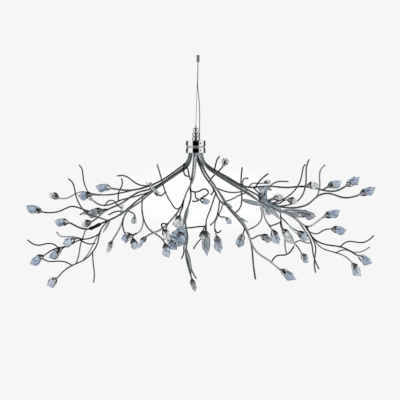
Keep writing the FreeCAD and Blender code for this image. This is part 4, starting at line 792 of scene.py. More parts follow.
def polished_chrome(name, base, low=0.03, high=0.09):
    """Turned and polished chrome, worn a little, with faint lathe lines round it."""
    lathe_lines = (60, 2, (1, 1, 40))
    return worked_finish(name, base, 1, None, ((90, 5), low, high), (lathe_lines, 0.05, 0.0001))


def stem_chrome(name, base):
    """Chrome of a bent rod: cloudy, faintly hammered, with painted shade at its rims."""
    return worked_finish(name, base, 1, ((18, 3), 0.62, 1.18), ((240, 4), 0.16, 0.28),
                         ((130, 3), 0.12, 0.0004), rim=(0.5, 0.12), Specular_Tint=(0.12, 0.12, 0.13, 1))


def braze_metal(base):
    """Rough braze metal."""
    clouds = (300, 5)
    return worked_finish("braze_metal", base, 1, (clouds, 0.7, 1.25), (clouds, 0.28, 0.5),
                         (clouds, 0.5, 0.0004))


def pressed_glass(name, base, clearness):
    """Pressed glass: cloudy tints, fine ripples, a little grease on its gloss and painted shade at its rims.
    """
    return worked_finish(name, base, 0, ((40, 2), 0.86, 1.14), ((210, 3), 0.06, 0.2), ((70, 2), 0.15, 0.002),
                         rim=(0.35, 0.35), IOR=1.5, Transmission_Weight=clearness, Coat_Weight=0.4,
                         Coat_Roughness=0.04)


def lamp_glass():
    """Clear glass of a capsule lamp."""
    haze = (400, 3)
    return worked_finish("lamp_glass", (0.92, 0.93, 0.92), 0, None, (haze, 0.02, 0.12), (haze, 0.1, 0.0001),
                         IOR=1.46, Transmission_Weight=0.85)


def filament_metal():
    """Grey metal of a lamp's filament."""
    grain = (900, 3)
    return worked_finish("filament_metal", (0.35, 0.33, 0.3), 1, None, (grain, 0.3, 0.55),
                         (grain, 0.2, 0.0001))


def clear_sheath(base):
    """Smoky, half clear sheath of the supply cable."""
    haze = (220, 4, (1, 1, 0.3))
    return worked_finish("clear_sheath", base, 0, (haze, 0.82, 1.1), (haze, 0.1, 0.24), (haze, 0.15, 0.0002),
                         IOR=1.45, Transmission_Weight=0.35)


def tinned_metal(name, base, metallic=1.0, rim=1.0):
    """Grainy tinned or zinced metal, with painted shade at its rims where rim is under 1."""
    grain = (700, 4)
    return worked_finish(name, base, metallic, (grain, 0.75, 1.15), (grain, 0.25, 0.45),
                         (grain, 0.25, 0.0001), rim=(0.5, rim) if rim < 1 else None,
                         Specular_Tint=(rim, rim, rim, 1))


def blackened_steel(base):
    """Steel with a thin black finish."""
    grain = (500, 4)
    return worked_finish("blackened_steel", base, 0.6, (grain, 0.6, 1.6), (grain, 0.3, 0.5),
                         (grain, 0.2, 0.0001))


def terminal_plastic():
    """Cream plastic of the terminal block."""
    grain = (600, 4)
    return worked_finish("terminal_plastic", (1, 1, 1), 0, (grain, (0.66, 0.64, 0.6), (0.76, 0.74, 0.7)),
                         (grain, 0.38, 0.55), (grain, 0.2, 0.0002))


# Width of the worn edges of the CAD nodes that are only dressed, and the corners that are worn
WORN_EDGES = {"ceiling_coupler": 0.0005, "coupler_collar": 0.0003, "cable_ball_end": 0.0002,
              "tie_rod": 0.0003, "hub_tie_nut": 0.0005, "terminal_block": 0.0006}
WORN_CORNER = math.radians(35)


def dress(node, material):
    """Gives a CAD node its finish, and worn edges where it has corners."""
    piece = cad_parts[node]
    if not piece.material_slots:
        piece.data.materials.append(material)
    for held in piece.material_slots:
        held.material = material
    edge = piece.modifiers.new("worn edges", "BEVEL")
    edge.width = WORN_EDGES[node]
    edge.segments = 2
    edge.limit_method = "ANGLE"
    edge.angle_limit = WORN_CORNER


# What is known of each rod, by its name: its smooth line, its radius, the foot of its braze (place, direction
# of the carrier, direction away from it) and the tip of its bud
LINES = {}
RADII = {}
FEET = {}
TIPS = {}

# Numbers of the finishes on a rod, and the rods whose chrome is painted darker or paler than the rest:
# painted shade and painted light, as the light falls on each rod
PLAIN_CHROME, BRAZE, SHADE_PAINTED_CHROME, LIGHT_PAINTED_CHROME = range(4)
SHADE_PAINTED_RODS = {"rl_crest", "ll_level", "ll_bow", "ri_third", "ce_bar", "ll_wave", "li_crook", "ll_low",
             "lu_reach", "li_link", "ce_nib", "ll_far", "ce_loop", "ri_bloom", "ce_knot", "rl_fan",
             "ce_small", "ri_prong", "lu_snag", "ce_barb", "rl_long", "rl_thorn", "ce_tuft", "ce_rose",
             "lu_spike", "rear_inner", "front_drop", "left_long", "rear_drop", "left_back"}
LIGHT_PAINTED_RODS = {"rl_low", "rl_wisp", "ce_bead", "ri_second", "lu_far", "ri_reed", "ce_pear", "ru_hook",
             "ri_cross", "ce_slant", "ce_berry", "lu_comb", "ri_rise", "rl_bell", "ri_nook", "ll_twin",
             "li_hook", "li_turn", "ri_fifth", "ri_pear", "ce_spur", "ri_pale", "rl_drop", "right_back",
             "right_front", "ce_tail", "ll_fall", "rl_ripple", "lu_horn", "ll_tip"}

# How close a foot nestles against its carrier, as a share of the two radii
NESTLE = 0.93

# How uneven a rod's section is, as a share of its radius
ROD_UNEVENNESS = 0.05

# The braze of a foot: its length as a share of the foot's, its width, its ends and how far it is sunk, all
# three as shares of the rod's radius, and how flat it lies
BRAZE_LENGTH = 1.1
BRAZE_WIDTH = 1.25
BRAZE_END = 0.12
BRAZE_SUNK = 0.9
BRAZE_FLATNESS = 0.75
BRAZE_STEPS = 6


def name_seed(name, step):
    """A number worked out from a name, so that the rods and the buds aren't all alike."""
    return sum(ord(letter) for letter in name) * step


def draw(name, points, slope, tip, radius, head, step):
    """Keeps a rod's smooth line, and the tip of its bud where it has one."""
    stop = None
    if tip:
        top = at_pixel(*tip, points[-1].y)
        lean = max(-MOST_LEAN_SHARE, min(MOST_LEAN_SHARE, slope))
        top.y += lean * (top - points[-1]).length
        TIPS[name] = top
        stop = len(points) - 1
        points = points + [top]
    LINES[name] = head + smooth(points, step, stop)
    RADII[name] = radius


def lay_boughs(stems):
    """Works out the smooth line of every tube that stands in the hub."""
    for rows in BOUGHS_PX.values():
        for name, angle, depth, tip, pixels in rows:
            turn = math.radians(angle)
            x = HUB_AXIS_X + stems.pitch_radius * math.cos(turn)
            y = stems.pitch_radius * math.sin(turn)
            start = Vector((x, y, UNDERSIDE_Z - stems.tube_tail))
            points, slope = route(start, pixels, depth, BOUGH_DEPTH_POWER)
            head = [Vector((x, y, UNDERSIDE_Z + stems.socket_depth))]
            draw(name, points, slope, tip, stems.tube_radius, head, stems.step)


def lay_stems(stems):
    """Works out the smooth line of every stem and twig, from its foot on what carries it."""
    for rows in STEMS_PX.values():
        for name, carrier, depth, tip, pixels in rows:
            on_tube = RADII[carrier] == stems.tube_radius
            radius = stems.stem_radius if on_tube else stems.twig_radius
            spot, way = nearest(LINES[carrier], *pixels[0])
            side = 1 if depth * HALF_DEPTH > spot.y else -1
            out = (Vector((0, side, 0)) - way * (side * way.y)).normalized()
            start = spot + out * ((RADII[carrier] + radius) * NESTLE + stems.braze_gap)
            points, slope = route(start, pixels[1:], depth, STEM_DEPTH_POWER)
            along = 1 if way.dot(points[1] - start) > 0 else -1
            foot = start - way * (along * stems.foot_length)
            draw(name, points, slope, tip, radius, [foot, foot.lerp(start, 0.5)], stems.step)
            FEET[name] = (start, way, out)


def braze(bm, start, way, out, radius, reach):
    """A low fillet of braze metal between a foot and the rod that carries it."""
    centre = start - out * radius * BRAZE_SUNK
    cross = way.cross(out)
    rings = []
    for k in range(BRAZE_STEPS + 1):
        t = k / BRAZE_STEPS * 2 - 1
        wide = radius * BRAZE_WIDTH * (math.sqrt(max(0.0, 1 - t * t)) + BRAZE_END)
        rings.append(ring(bm, centre + way * (t * reach), cross, out, wide, 8, squash=BRAZE_FLATNESS))
    skin(bm, rings, BRAZE)


def rod_piece(node, names, stems, materials):
    """The rods of one node, each with its own finish and the braze of its foot."""
    bm = bmesh.new()
    for name in names:
        radius = RADII[name]
        sides = 14 if radius == stems.tube_radius else 12
        finish = SHADE_PAINTED_CHROME if name in SHADE_PAINTED_RODS else LIGHT_PAINTED_CHROME if name in LIGHT_PAINTED_RODS else PLAIN_CHROME
        tube(bm, LINES[name], radius, sides, finish, uneven=ROD_UNEVENNESS, seed=name_seed(name, 0.37))
        if name in FEET:
            braze(bm, *FEET[name], radius, stems.foot_length * BRAZE_LENGTH)
    finish_piece(bm, node + "_bent", "luminaire", materials, [node])


# Buds whose glass isn't lavender
BUDS_OF_KIND = {
    PALE: {"front_left", "right_back", "ll_bud", "ll_arm", "li_hang", "li_long", "ce_pear", "ce_berry",
           "rl_bell", "rl_cup", "rl_low", "ri_fourth", "ru_petal", "ce_rose"},
    CLEAR: {"lu_far", "lu_comb", "li_pip", "left_drop", "left_back", "ru_pearl", "ri_bloom", "ri_first",
            "ri_second", "ri_third", "ri_fifth", "ri_pale", "ce_small", "ce_drop", "ce_knot", "rl_leaf"},
    SMOKY: {"ce_plum", "lu_leaf", "rl_fan", "rear_inner", "front_drop", "ri_dip"},
}

# Buds slimmer or wider than the rest, as a share of the usual width
BUD_GIRTHS = {"left_drop": 0.6, "front_drop": 0.62, "front_left": 0.55, "ll_arm": 1.35, "li_turn": 1.35}

# A bud shorter than this is a small one: its holder is smaller by the share, and it has no lamp
SMALL_BUD = 0.042
SMALL_HOLDER_SHARE = 0.55

# Where a bud's glass and lamp sit, as a share of the holder's length
SEAT_SHARE = 0.98

# The widest that a bud's glass may be: a share of its length, or a little more than the widest radius
STOUTEST_SHARE = 0.42
GLASS_SWELL = 1.02

# Play between a stem's end and its holder, wall of a holder's sepals, and the half widths of all its sepals
# together, in radians
HOLDER_PLAY = 0.0003
SEPAL_WALL = 0.0011
SEPALS_HALF_WIDTH = 1.9

# A capsule lamp's length as a share of the glass's, and its outline: share of its radius, share of its length
LAMP_SHARE = 0.5
LAMP_OUTLINE = ((0, 0), (0.75, 0), (0.8, 0.2), (1, 0.32), (1, 0.72), (0.8, 0.88), (0.35, 0.97), (0, 1))

# The lamp's filament: radius of its wire, where its coil starts, the coil's length and radius as shares of
# the lamp's, the coil's points and the turn from one to the next
FILAMENT_RADIUS = 0.0003
COIL_FOOT_SHARE = 0.35
COIL_LENGTH_SHARE = 0.3
COIL_SHARE = 0.28
COIL_POINTS = 25
COIL_POINT_TURN = 1.3

# How far in front of its carrier's middle a leaf starts, as a share of the carrier's radius
LEAF_FOOT_SHARE = 0.6

# A loose leaf: its half width at both ends as a share of the widest, how full it is between them, its bow as
# a share of its length and its cupping as a share of its half width
LEAF_END_SHARE = 0.1
LEAF_POWER = 0.8
LEAF_BOW_SHARE = 0.07
LEAF_CUP_SHARE = 0.35

# The closed heart of a bud: its sides, its rolled lobes, by how many lobes they wind up its length, its
# radius between two lobes as a share of the outline's, what a lobe adds to it and how full a lobe is
HEART_SIDES = 20
LOBES = 3
LOBE_WIND = 0.9
HEART_SHARE = 0.84
LOBE_SHARE = 0.1
LOBE_POWER = 0.6

# How far the glass bellies out as a share of its waist, how pointed its belly is, and how far the belly's
# direction strays from straight down, across and in depth
SAG_SHARE = 0.3
SAG_POWER = 1.5
SAG_STRAY = (0.35, 0.3)

# A petal: where on its bow it starts, how full the bow is, how far its sides fall short of its middle, how
# close it lies on the outline, how late its tip curls, how far its middle stands out as a share of the waist,
# and half its width at the tip in radians
PETAL_START = 0.28
PETAL_POWER = 0.75
PETAL_SHORT_SIDES = 0.12
PETAL_SEAT_SHARE = 0.98
CURL_POWER = 5
PETAL_CROWN_SHARE = 0.03
PETAL_TIP = 0.03

# How far a petal strays from its place round the bud, in radians, and from its length, as a share of the
# glass's
PETAL_TURN_STRAY = 0.25
PETAL_LENGTH_STRAY = 0.05

# A sepal: how late and how fast it narrows, how hollow it is as a share of the mouth's radius, and half its
# width at the tip in radians
SEPAL_LATENESS = 2.2
SEPAL_POWER = 0.8
SEPAL_HOLLOW_SHARE = 0.1
SEPAL_TIP = 0.04

# Outline of a bud's glass: share of its length, share of its widest radius
BUD_OUTLINE = [(0, 0.42), (0.08, 0.68), (0.2, 0.92), (0.34, 1.0), (0.48, 0.97), (0.6, 0.84), (0.72, 0.58),
               (0.83, 0.32), (0.92, 0.15), (1.0, 0.03)]

# The four petals of a bud: half width in radians, share of the glass's length, curl of the tip
PETALS = [(1.0, 0.8, 0.04), (0.85, 0.66, 0.16), (1.0, 0.9, 0.02), (0.8, 0.6, 0.2)]

# Outline of a holder's sepal: share of the holder's length, share of its mouth's radius
SEPAL_OUTLINE = [(0.22, 0.42), (0.36, 0.56), (0.52, 0.74), (0.68, 0.9), (0.84, 1.0), (1.0, 1.05),
                 (1.14, 1.04), (1.26, 1.0)]


def is_small(foot, tip):
    """Whether a bud is too short to hold a lamp."""
    return (tip - foot).length < SMALL_BUD


def holder_share(foot, tip):
    """The size of a bud's holder, as a share of the usual one."""
    return SMALL_HOLDER_SHARE if is_small(foot, tip) else 1


def bud_frame(foot, tip):
    """A bud's own directions: towards its tip, to its side and up."""
    way = (tip - foot).normalized()
    side = way.cross(BUD_ASKEW).normalized()
    return way, side, way.cross(side)


def outline_at(t):
    """The radius of a bud's outline at a share of its length."""
    for (a, ra), (b, rb) in zip(BUD_OUTLINE, BUD_OUTLINE[1:]):
        if t <= b:
            return ra + (rb - ra) * (t - a) / (b - a)
    return BUD_OUTLINE[-1][1]


def sag(way, waist, t, seed):
    """How far the glass bellies out below the line from its holder to its beak."""
    across, deep = SAG_STRAY
    down = Vector((across * math.sin(seed), deep * math.cos(seed * 2), -1))
    down = (down - way * down.dot(way)).normalized()
    return down * (waist * SAG_SHARE * math.sin(math.pi * min(1, t)) ** SAG_POWER)


def bud_core(bm, base, axes, reach, waist, seed, material):
    """The closed heart of a bud: three rolled lobes that wind up to its beak."""
    way, side, up = axes
    rings = []
    for t, out in BUD_OUTLINE:
        corners = []
        for k in range(HEART_SIDES):
            turn = 2 * math.pi * k / HEART_SIDES
            roll = (turn * LOBES / (2 * math.pi) + t * LOBE_WIND + seed) % 1
            radius = waist * out * (HEART_SHARE + LOBE_SHARE * math.sin(math.pi * roll) ** LOBE_POWER)
            centre = base + way * (reach * t) + sag(way, waist, t, seed)
            corners.append(bm.verts.new(around(centre, side, up, radius, turn)))
        rings.append(corners)
    skin(bm, rings, material)


def petal(bm, base, axes, reach, waist, turn, form, wall, seed, material, edge):
    """One thick glass petal, widest low down and drawn to a curled point, with painted shade along its edges.
    """
    way, side, up = axes
    wide, top, curl = form

    def place(layer, v, u):
        bow = math.sin(math.pi * (PETAL_START + (1 - PETAL_START) * v))
        half = wide * bow ** PETAL_POWER if v < 1 else 0.0
        t = v * top * (1 - PETAL_SHORT_SIDES * u * u * v)
        out = outline_at(t) * PETAL_SEAT_SHARE + curl * v ** CURL_POWER + PETAL_CROWN_SHARE * (1 - u * u)
        centre = base + way * (reach * t) + sag(way, waist, t, seed)
        return around(centre, side, up, waist * out - layer * wall, turn + (half + PETAL_TIP) * u)

    sheet(bm, 10, 9, place, material, material, edge)


def bud_glass(bm, foot, tip, buds, seed, material, girth):
    """A glass bud: its closed heart in four petals, every other one of them greener."""
    axes = bud_frame(foot, tip)
    base = foot + axes[0] * (buds.holder_length * holder_share(foot, tip) * SEAT_SHARE)
    reach = (tip - base).length
    waist = min(reach * STOUTEST_SHARE, buds.bud_radius * GLASS_SWELL) * girth
    bud_core(bm, base, axes, reach, waist, seed, material)
    for k, (wide, top, curl) in enumerate(PETALS):
        turn = seed + k * math.pi / 2 + PETAL_TURN_STRAY * math.sin(seed * (k + 1))
        form = (wide, top + PETAL_LENGTH_STRAY * math.sin(seed * 3 + k), curl)
        own = material + TO_GREEN_GLASS if k % 2 else material
        petal(bm, base, axes, reach, waist, turn, form, buds.wall, seed, own, material + TO_EDGE_SHADE_GLASS)


def leaf(bm, foot, tip, half, turn, wall, material):
    """A cupped glass leaf with painted shade on its thick rim, widest before its middle and drawn to a point.
    """
    way = (tip - foot).normalized()
    reach = (tip - foot).length
    flat = way.cross(Vector((0, 1, 0))).normalized()
    side = flat * math.cos(turn) + flat.cross(way) * math.sin(turn)
    up = way.cross(side)

    def place(layer, v, u):
        full = math.sin(math.pi * v ** LEAF_POWER) ** LEAF_POWER if 0 < v < 1 else 0
        wide = half * (LEAF_END_SHARE + (1 - LEAF_END_SHARE) * full)
        bow = LEAF_BOW_SHARE * reach * math.sin(math.pi * v) - LEAF_CUP_SHARE * wide * u * u - layer * wall
        return foot + way * (reach * v) + side * (wide * u) + up * bow

    sheet(bm, 9, 8, place, material + TO_GREEN_GLASS, material, material + TO_EDGE_SHADE_GLASS)


def sepal(bm, foot, axes, reach, mouth, turn, wide, wall):
    """One pressed sepal of a holder: bright and hollow outside, black inside as painted shade between holder
    and glass, pointed at its end.
    """
    way, side, up = axes
    last = len(SEPAL_OUTLINE) - 1

    def place(layer, v, u):
        along, out = SEPAL_OUTLINE[round(v * last)]
        half = wide * (1 - v ** SEPAL_LATENESS) ** SEPAL_POWER if v < 1 else 0.0
        hollow = SEPAL_HOLLOW_SHARE * (1 - u * u) * math.sin(math.pi * v)
        radius = mouth * (out - hollow) - layer * wall
        return around(foot + way * (reach * along), side, up, radius, turn + (half + SEPAL_TIP) * u)

    sheet(bm, last + 1, 5, place, 0, 1, 1, painted_shade_margin=False)


def holder_piece(bm, foot, tip, buds, seed, girth):
    """A lamp holder: a neck with a rolled collar, a cup for the lamp, and sepals round the glass."""
    size = holder_share(foot, tip)
    reach = buds.holder_length * size
    mouth = buds.holder_radius * size * (1 + girth) / 2
    neck = buds.holder_foot * size
    axes = bud_frame(foot, tip)
    profile = rounded([(0, 0), (neck, 0), (neck, reach * 0.16), (neck * 1.3, reach * 0.18),
                       (neck * 1.3, reach * 0.26), (neck, reach * 0.28), (neck * 1.2, reach * 0.4),
                       (mouth * 0.62, reach * 0.62), (mouth * 0.66, reach * 0.84),
                       (mouth * 0.5, reach * 0.84), (mouth * 0.44, reach * 0.6), (0, reach * 0.55)],
                      neck * 0.2, steps=2)
    turned(bm, foot + axes[0] * HOLDER_PLAY, profile, 16, axis=axes[0])
    for k in range(buds.sepals):
        turn = seed + 2 * math.pi * k / buds.sepals
        sepal(bm, foot, axes, reach, mouth, turn, SEPALS_HALF_WIDTH / buds.sepals, SEPAL_WALL * size)


def lamp_piece(bm, foot, tip, buds):
    """A capsule lamp: pinched foot, round glass with a drawn tip, and its filament."""
    way, side, up = bud_frame(foot, tip)
    base = foot + way * (buds.holder_length * SEAT_SHARE)
    reach = (tip - base).length * LAMP_SHARE
    profile = [(buds.lamp_radius * out, reach * along) for out, along in LAMP_OUTLINE]
    turned(bm, base, profile, 14, axis=way)
    coil = []
    for k in range(COIL_POINTS):
        middle = base + way * (reach * (COIL_FOOT_SHARE + COIL_LENGTH_SHARE * k / (COIL_POINTS - 1)))
        coil.append(around(middle, side, up, buds.lamp_radius * COIL_SHARE, k * COIL_POINT_TURN))
    tube(bm, coil, FILAMENT_RADIUS, 4, material=1)


# Angles of the hub's screws, from the right towards the back, the same on both drums
SCREW_ANGLES = (-62, 58, 178)

# Outlines of a screw's head and of the six-sided socket in it: radius, height
SCREW_HEAD = ((0.0034, 0), (0.0034, 0.0007), (0.0028, 0.0009), (0.0028, 0.0012), (0.0025, 0.0018),
              (0.0017, 0.0021), (0.0014, 0.0021))
SCREW_SOCKET = ((0.0014, 0.0021), (0.0014, 0.0006), (0, 0.0006))


# Neck of a bead, as a share of its widest radius, how square its belly is and in how many steps it is turned
BEAD_NECK = 0.62
BEAD_POWER = 2.4
BEAD_STEPS = 14

# How far a screw's head is sunk into the drum, the fine step beside a drum's edges and the ring of the waist
SCREW_SUNK = 0.0006
DRUM_STEP = 0.00025
WAIST_RING = 0.004

# Rounding of the edges of the nipple, the waist and the gland
NIPPLE_EDGE = 0.0006
WAIST_EDGE = 0.0008
GLAND_EDGE = 0.0004


def barrel_profile(low, high, widest, neck):
    """Outline of a round bead between two heights."""
    rows = [(0, low)]
    for k in range(BEAD_STEPS + 1):
        t = k / BEAD_STEPS
        swell = (1 - abs(2 * t - 1) ** BEAD_POWER) ** 0.5
        rows.append((neck + (widest - neck) * swell, low + (high - low) * t))
    rows.append((0, high))
    return rows


def hub_beads(hub):
    """The three round beads over the hub, and the tapered nipple on top of them."""
    chrome = polished_chrome("bead_chrome", hub.chrome)
    for node in ("swivel_bead", "middle_bead", "lower_bead"):
        low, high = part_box(node)
        widest = (high.x - low.x) / 2
        body = "suspension" if node == "swivel_bead" else "luminaire"
        turn_piece(node, body, chrome, Vector(((low.x + high.x) / 2, 0, 0)),
                   barrel_profile(low.z, high.z, widest, widest * BEAD_NECK), 48)
    low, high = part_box("cable_nipple")
    tall = high.z - low.z
    wide = (high.x - low.x) / 2
    outline = [(0, 0), (wide, 0), (wide, tall * 0.12), (wide * 0.9, tall * 0.16), (wide * 0.9, tall * 0.22),
               (wide, tall * 0.26), (wide, tall * 0.48), (wide * 0.62, tall * 0.92), (wide * 0.5, tall),
               (0, tall)]
    turn_piece("cable_nipple", "suspension", chrome, Vector(((low.x + high.x) / 2, 0, low.z)),
               rounded(outline, NIPPLE_EDGE, 2), 40)


def hub_drums(hub):
    """The two drums, each with a fine step beside both edges, and the bright waist between them."""
    chrome = polished_chrome("hub_chrome", hub.chrome)
    step = DRUM_STEP
    drums = {"hub_drum_upper": (UPPER_LOW, UPPER_HIGH), "hub_drum_lower": (LOWER_LOW, LOWER_HIGH)}
    for node, (low, high) in drums.items():
        wide = (high.x - low.x) / 2
        tall = high.z - low.z
        lip = tall * 0.08
        outline = [(0, 0), (wide, 0), (wide, lip), (wide - step, lip + step),
                   (wide - step, tall - lip - step), (wide, tall - lip), (wide, tall), (0, tall)]
        turn_piece(node, "luminaire", chrome, Vector((HUB_AXIS_X, 0, low.z)),
                   rounded(outline, hub.edge, 4), 96)
    wide = (SPACER_HIGH.x - SPACER_LOW.x) / 2
    tall = SPACER_HIGH.z - SPACER_LOW.z
    inside = wide - WAIST_RING
    outline = [(inside, 0), (wide, 0), (wide, tall * 0.3), (wide - hub.waist_inset, tall * 0.5),
               (wide, tall * 0.7), (wide, tall), (inside, tall)]
    satin = polished_chrome("waist_satin", hub.chrome, 0.34, 0.46)
    turn_piece("hub_spacer", "luminaire", satin, Vector((HUB_AXIS_X, 0, SPACER_LOW.z)),
               rounded(outline, WAIST_EDGE, 3), 96)


def hub_screw_heads(hub):
    """Domed heads, sunk a little into both drums, each with a six-sided socket."""
    bm = bmesh.new()
    seat = (UPPER_HIGH.x - UPPER_LOW.x) / 2 - SCREW_SUNK
    for low, high in ((UPPER_LOW, UPPER_HIGH), (LOWER_LOW, LOWER_HIGH)):
        for angle in SCREW_ANGLES:
            out = Vector((math.cos(math.radians(angle)), math.sin(math.radians(angle)), 0))
            foot = Vector((HUB_AXIS_X, 0, (low.z + high.z) / 2)) + out * seat
            turned(bm, foot, SCREW_HEAD, 24, axis=out)
            turned(bm, foot, SCREW_SOCKET, 6, axis=out, smooth_faces=False)
    finish_piece(bm, "hub_screws_domed", "luminaire", [blackened_steel(hub.screw_colour)],
                 ["hub_screws"])


def hub_gland(hub):
    """The gland through which the supply cable enters the hub."""
    low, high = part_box("supply_gland")
    top = UPPER_HIGH.z
    wide = (high.x - low.x) / 2
    tall = high.z - top
    outline = [(0, low.z), (wide * 0.66, low.z), (wide * 0.66, top), (wide, top), (wide, top + tall * 0.3),
               (wide * 0.8, top + tall * 0.36), (wide * 0.76, top + tall * 0.6),
               (wide * 0.72, top + tall * 0.66), (wide * 0.66, top + tall), (wide * 0.42, top + tall),
               (wide * 0.4, top + tall * 0.8), (0, top + tall * 0.8)]
    turn_piece("supply_gland", "luminaire", polished_chrome("gland_chrome", hub.chrome),
               Vector(((low.x + high.x) / 2, (low.y + high.y) / 2, 0)), rounded(outline, GLAND_EDGE, 2), 36)


# Sleeve of the left bough: its two ends as pixel columns, its radii from end to end and the outline of a band
# round it, both in millimetres, at which radii the bands are, and how much of the tube's bend it keeps
SLEEVE_PX = (101.5, 89)
SLEEVE_RADII_MM = (4.4, 6.9, 7.3, 6.9, 6.6, 6.6, 6.6, 6.9, 7.3, 7.0, 4.6)
SLEEVE_BAND_MM = ((-1.1, 7.2), (-0.7, 7.8), (0.7, 7.8), (1.1, 7.2))
SLEEVE_BANDS_AT = (2, 8)
SLEEVE_BEND_KEPT = 0.75


def sleeve_piece():
    """A dark sleeve with rolled ends and two bands, on the tube that it slides on."""
    right, left = [HUB_AXIS_X + (column - HUB_COLUMN_PX) * METRES_PER_PX for column in SLEEVE_PX]
    inside = [p for p in LINES["left_long"] if left < p.x < right]
    last = len(SLEEVE_RADII_MM) - 1
    line = [inside[0].lerp(inside[-1], k / last) * (1 - SLEEVE_BEND_KEPT)
            + inside[round(k / last * (len(inside) - 1))] * SLEEVE_BEND_KEPT for k in range(last + 1)]
    rows = frames(line)
    bm = bmesh.new()
    rings = [ring(bm, p, side, up, r * MM, 24) for p, (_, side, up), r in zip(line, rows, SLEEVE_RADII_MM)]
    skin(bm, rings)
    for k in SLEEVE_BANDS_AT:
        way, side, up = rows[k]
        bridge(bm, [ring(bm, line[k] + way * (s * MM), side, up, r * MM, 24) for s, r in SLEEVE_BAND_MM])
    black = blackened_steel((0.01, 0.01, 0.012))
    finish_piece(bm, "junction_sleeve_rolled", "luminaire", [black], ["junction_sleeve"])


# Binding wire round the left bundle: an oval coil whose axis follows the bundle
COIL_PX = ((157, 186.5), (150, 191.5))
COIL_TURNS = 2.5
COIL_PITCH = 0.007
COIL_HALF_HEIGHT = 0.0292
COIL_HALF_DEPTH = 0.0672
COIL_RADIUS = 0.0018
COIL_TAIL = 0.012
COIL_STEPS = 40


def binding_piece():
    """One unbroken wire in oval turns, with both ends bent off as they were cut."""
    a, b = [at_pixel(*pixel, 0) for pixel in COIL_PX]
    way = (b - a).normalized()
    up = Vector((-way.z, 0, way.x))
    middle = (a + b) / 2
    line = []
    for k in range(int(COIL_TURNS * COIL_STEPS) + 1):
        turn = 2 * math.pi * k / COIL_STEPS
        along = (k / COIL_STEPS - COIL_TURNS / 2) * COIL_PITCH
        line.append(middle + way * along + up * (COIL_HALF_HEIGHT * math.cos(turn))
                    + Vector((0, COIL_HALF_DEPTH * math.sin(turn), 0)))
    first, last = line[0], line[-1]
    line = [first + up * COIL_TAIL, first + up * COIL_RADIUS, *line[1:-1], last - up * COIL_RADIUS,
            last - up * COIL_TAIL]
    bm = bmesh.new()
    tube(bm, line, COIL_RADIUS, 10, uneven=0.04, seed=1.3)
    metal = tinned_metal("binding_tinned", (0.86, 0.9, 0.89), metallic=0.3, rim=0.02)
    finish_piece(bm, "binding_wire_wound", "luminaire", [metal], ["binding_wire"])


# Route of the supply cable, from inside the coupler to the gland's mouth, in millimetres
SUPPLY_ROUTE_MM = [(0, 9, -16), (-0.8, 9.3, -64), (-2.8, 8.8, -123), (4.6, 8.6, -181), (6.9, 9.4, -240),
                   (6, 10.6, -296), (6.4, 13, -335)]

# How far a strand of the steel cable and a core of the supply cable run for one turn
STEEL_LAY = 0.012
CORE_LAY = 0.016


def spline_points(name, route_points):
    """Points read from the smooth NURBS line through a route."""
    curve = bpy.data.curves.new(name, "CURVE")
    curve.dimensions = "3D"
    spline = curve.splines.new("NURBS")
    spline.points.add(len(route_points) - 1)
    for point, spot in zip(spline.points, route_points):
        point.co = (*spot, 1)
    spline.order_u = 3
    spline.use_endpoint_u = True
    spline.resolution_u = 12
    guide = link_to_scene(name, curve)
    bpy.context.view_layer.update()
    mesh = bpy.data.meshes.new_from_object(guide)
    line = [v.co.copy() for v in mesh.vertices]
    bpy.data.objects.remove(guide)
    bpy.data.meshes.remove(mesh)
    return line


def strands(bm, line, count, strand_radius, turn_radius, lay):
    """Strands laid round a line, one turn to each lay."""
    fine = []
    for a, b in zip(line, line[1:]):
        pieces = max(1, round((b - a).length / (lay / 8)))
        fine += [a.lerp(b, k / pieces) for k in range(pieces)]
    fine.append(line[-1])
    rows = frames(fine)
    for strand in range(count):
        gone = 0
        path = []
        for k, (spot, (_, side, up)) in enumerate(zip(fine, rows)):
            gone += (fine[k] - fine[k - 1]).length if k else 0
            turn = 2 * math.pi * (gone / lay + strand / count)
            path.append(around(spot, side, up, turn_radius, turn))
        tube(bm, path, strand_radius, 6)


def steel_cable(cables):
    """Six strands laid round a seventh, straight from the cable's ball to its nipple."""
    low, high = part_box("suspension_cable")
    top, foot = Vector((0, 0, high.z)), Vector((HUB_AXIS_X, 0, low.z))
    line = spline_points("suspension_guide", [top.lerp(foot, k / 4) for k in range(5)])
    radius = cables.steel_width / 2
    bm = bmesh.new()
    strands(bm, line, 6, radius * 0.36, radius * 0.64, STEEL_LAY)
    tube(bm, line, radius * 0.4, 8)
    metal = tinned_metal("steel_strands", cables.steel_colour, rim=0.1)
    piece = finish_piece(bm, "suspension_cable_laid", "suspension", [metal],
                         ["suspension_cable"])


def supply_cable(cables):
    """Two tinned cores in a smoky sheath."""
    line = spline_points("supply_guide", [Vector(spot) * MM for spot in SUPPLY_ROUTE_MM])
    radius = cables.supply_width / 2
    cores = bmesh.new()
    strands(cores, line, 2, radius * 0.34, radius * 0.36, CORE_LAY)
    tinned = tinned_metal("tinned_cores", (0.5, 0.5, 0.49))
    inner = finish_piece(cores, "supply_cores", "suspension", [tinned])
    bm = bmesh.new()
    tube(bm, line, radius, 16)
    sheath = finish_piece(bm, "supply_cable_sheath", "suspension",
                          [clear_sheath(cables.sheath_colour)], ["supply_cable"])
    for piece in (inner, sheath):
        piece.parent = None
        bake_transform(piece)


# The studio round the light, as the metal's gloss sees it: the plain level of its walls, the level of the
# dark side behind the light, how soft the edges of both dark sides are, in radians, and where the fade
# towards straight up and straight down begins and ends, as shares of the way there
ROOM_LEVEL = 0.92
FAR_FLAG_LEVEL = 0.07
FLAG_SOFTNESS = 0.05
FAR_FLAG_SOFTNESS = 0.06
POLE_FADE = (0.3, 0.82)

# Where the bright oval of the backdrop starts to fade and has faded, as shares of its half width
GLOW_FADE = (0.55, 1.25)

# Where the floor starts to fade and has faded, as shares of its reach
FLOOR_FADE = (0.3, 0.95)

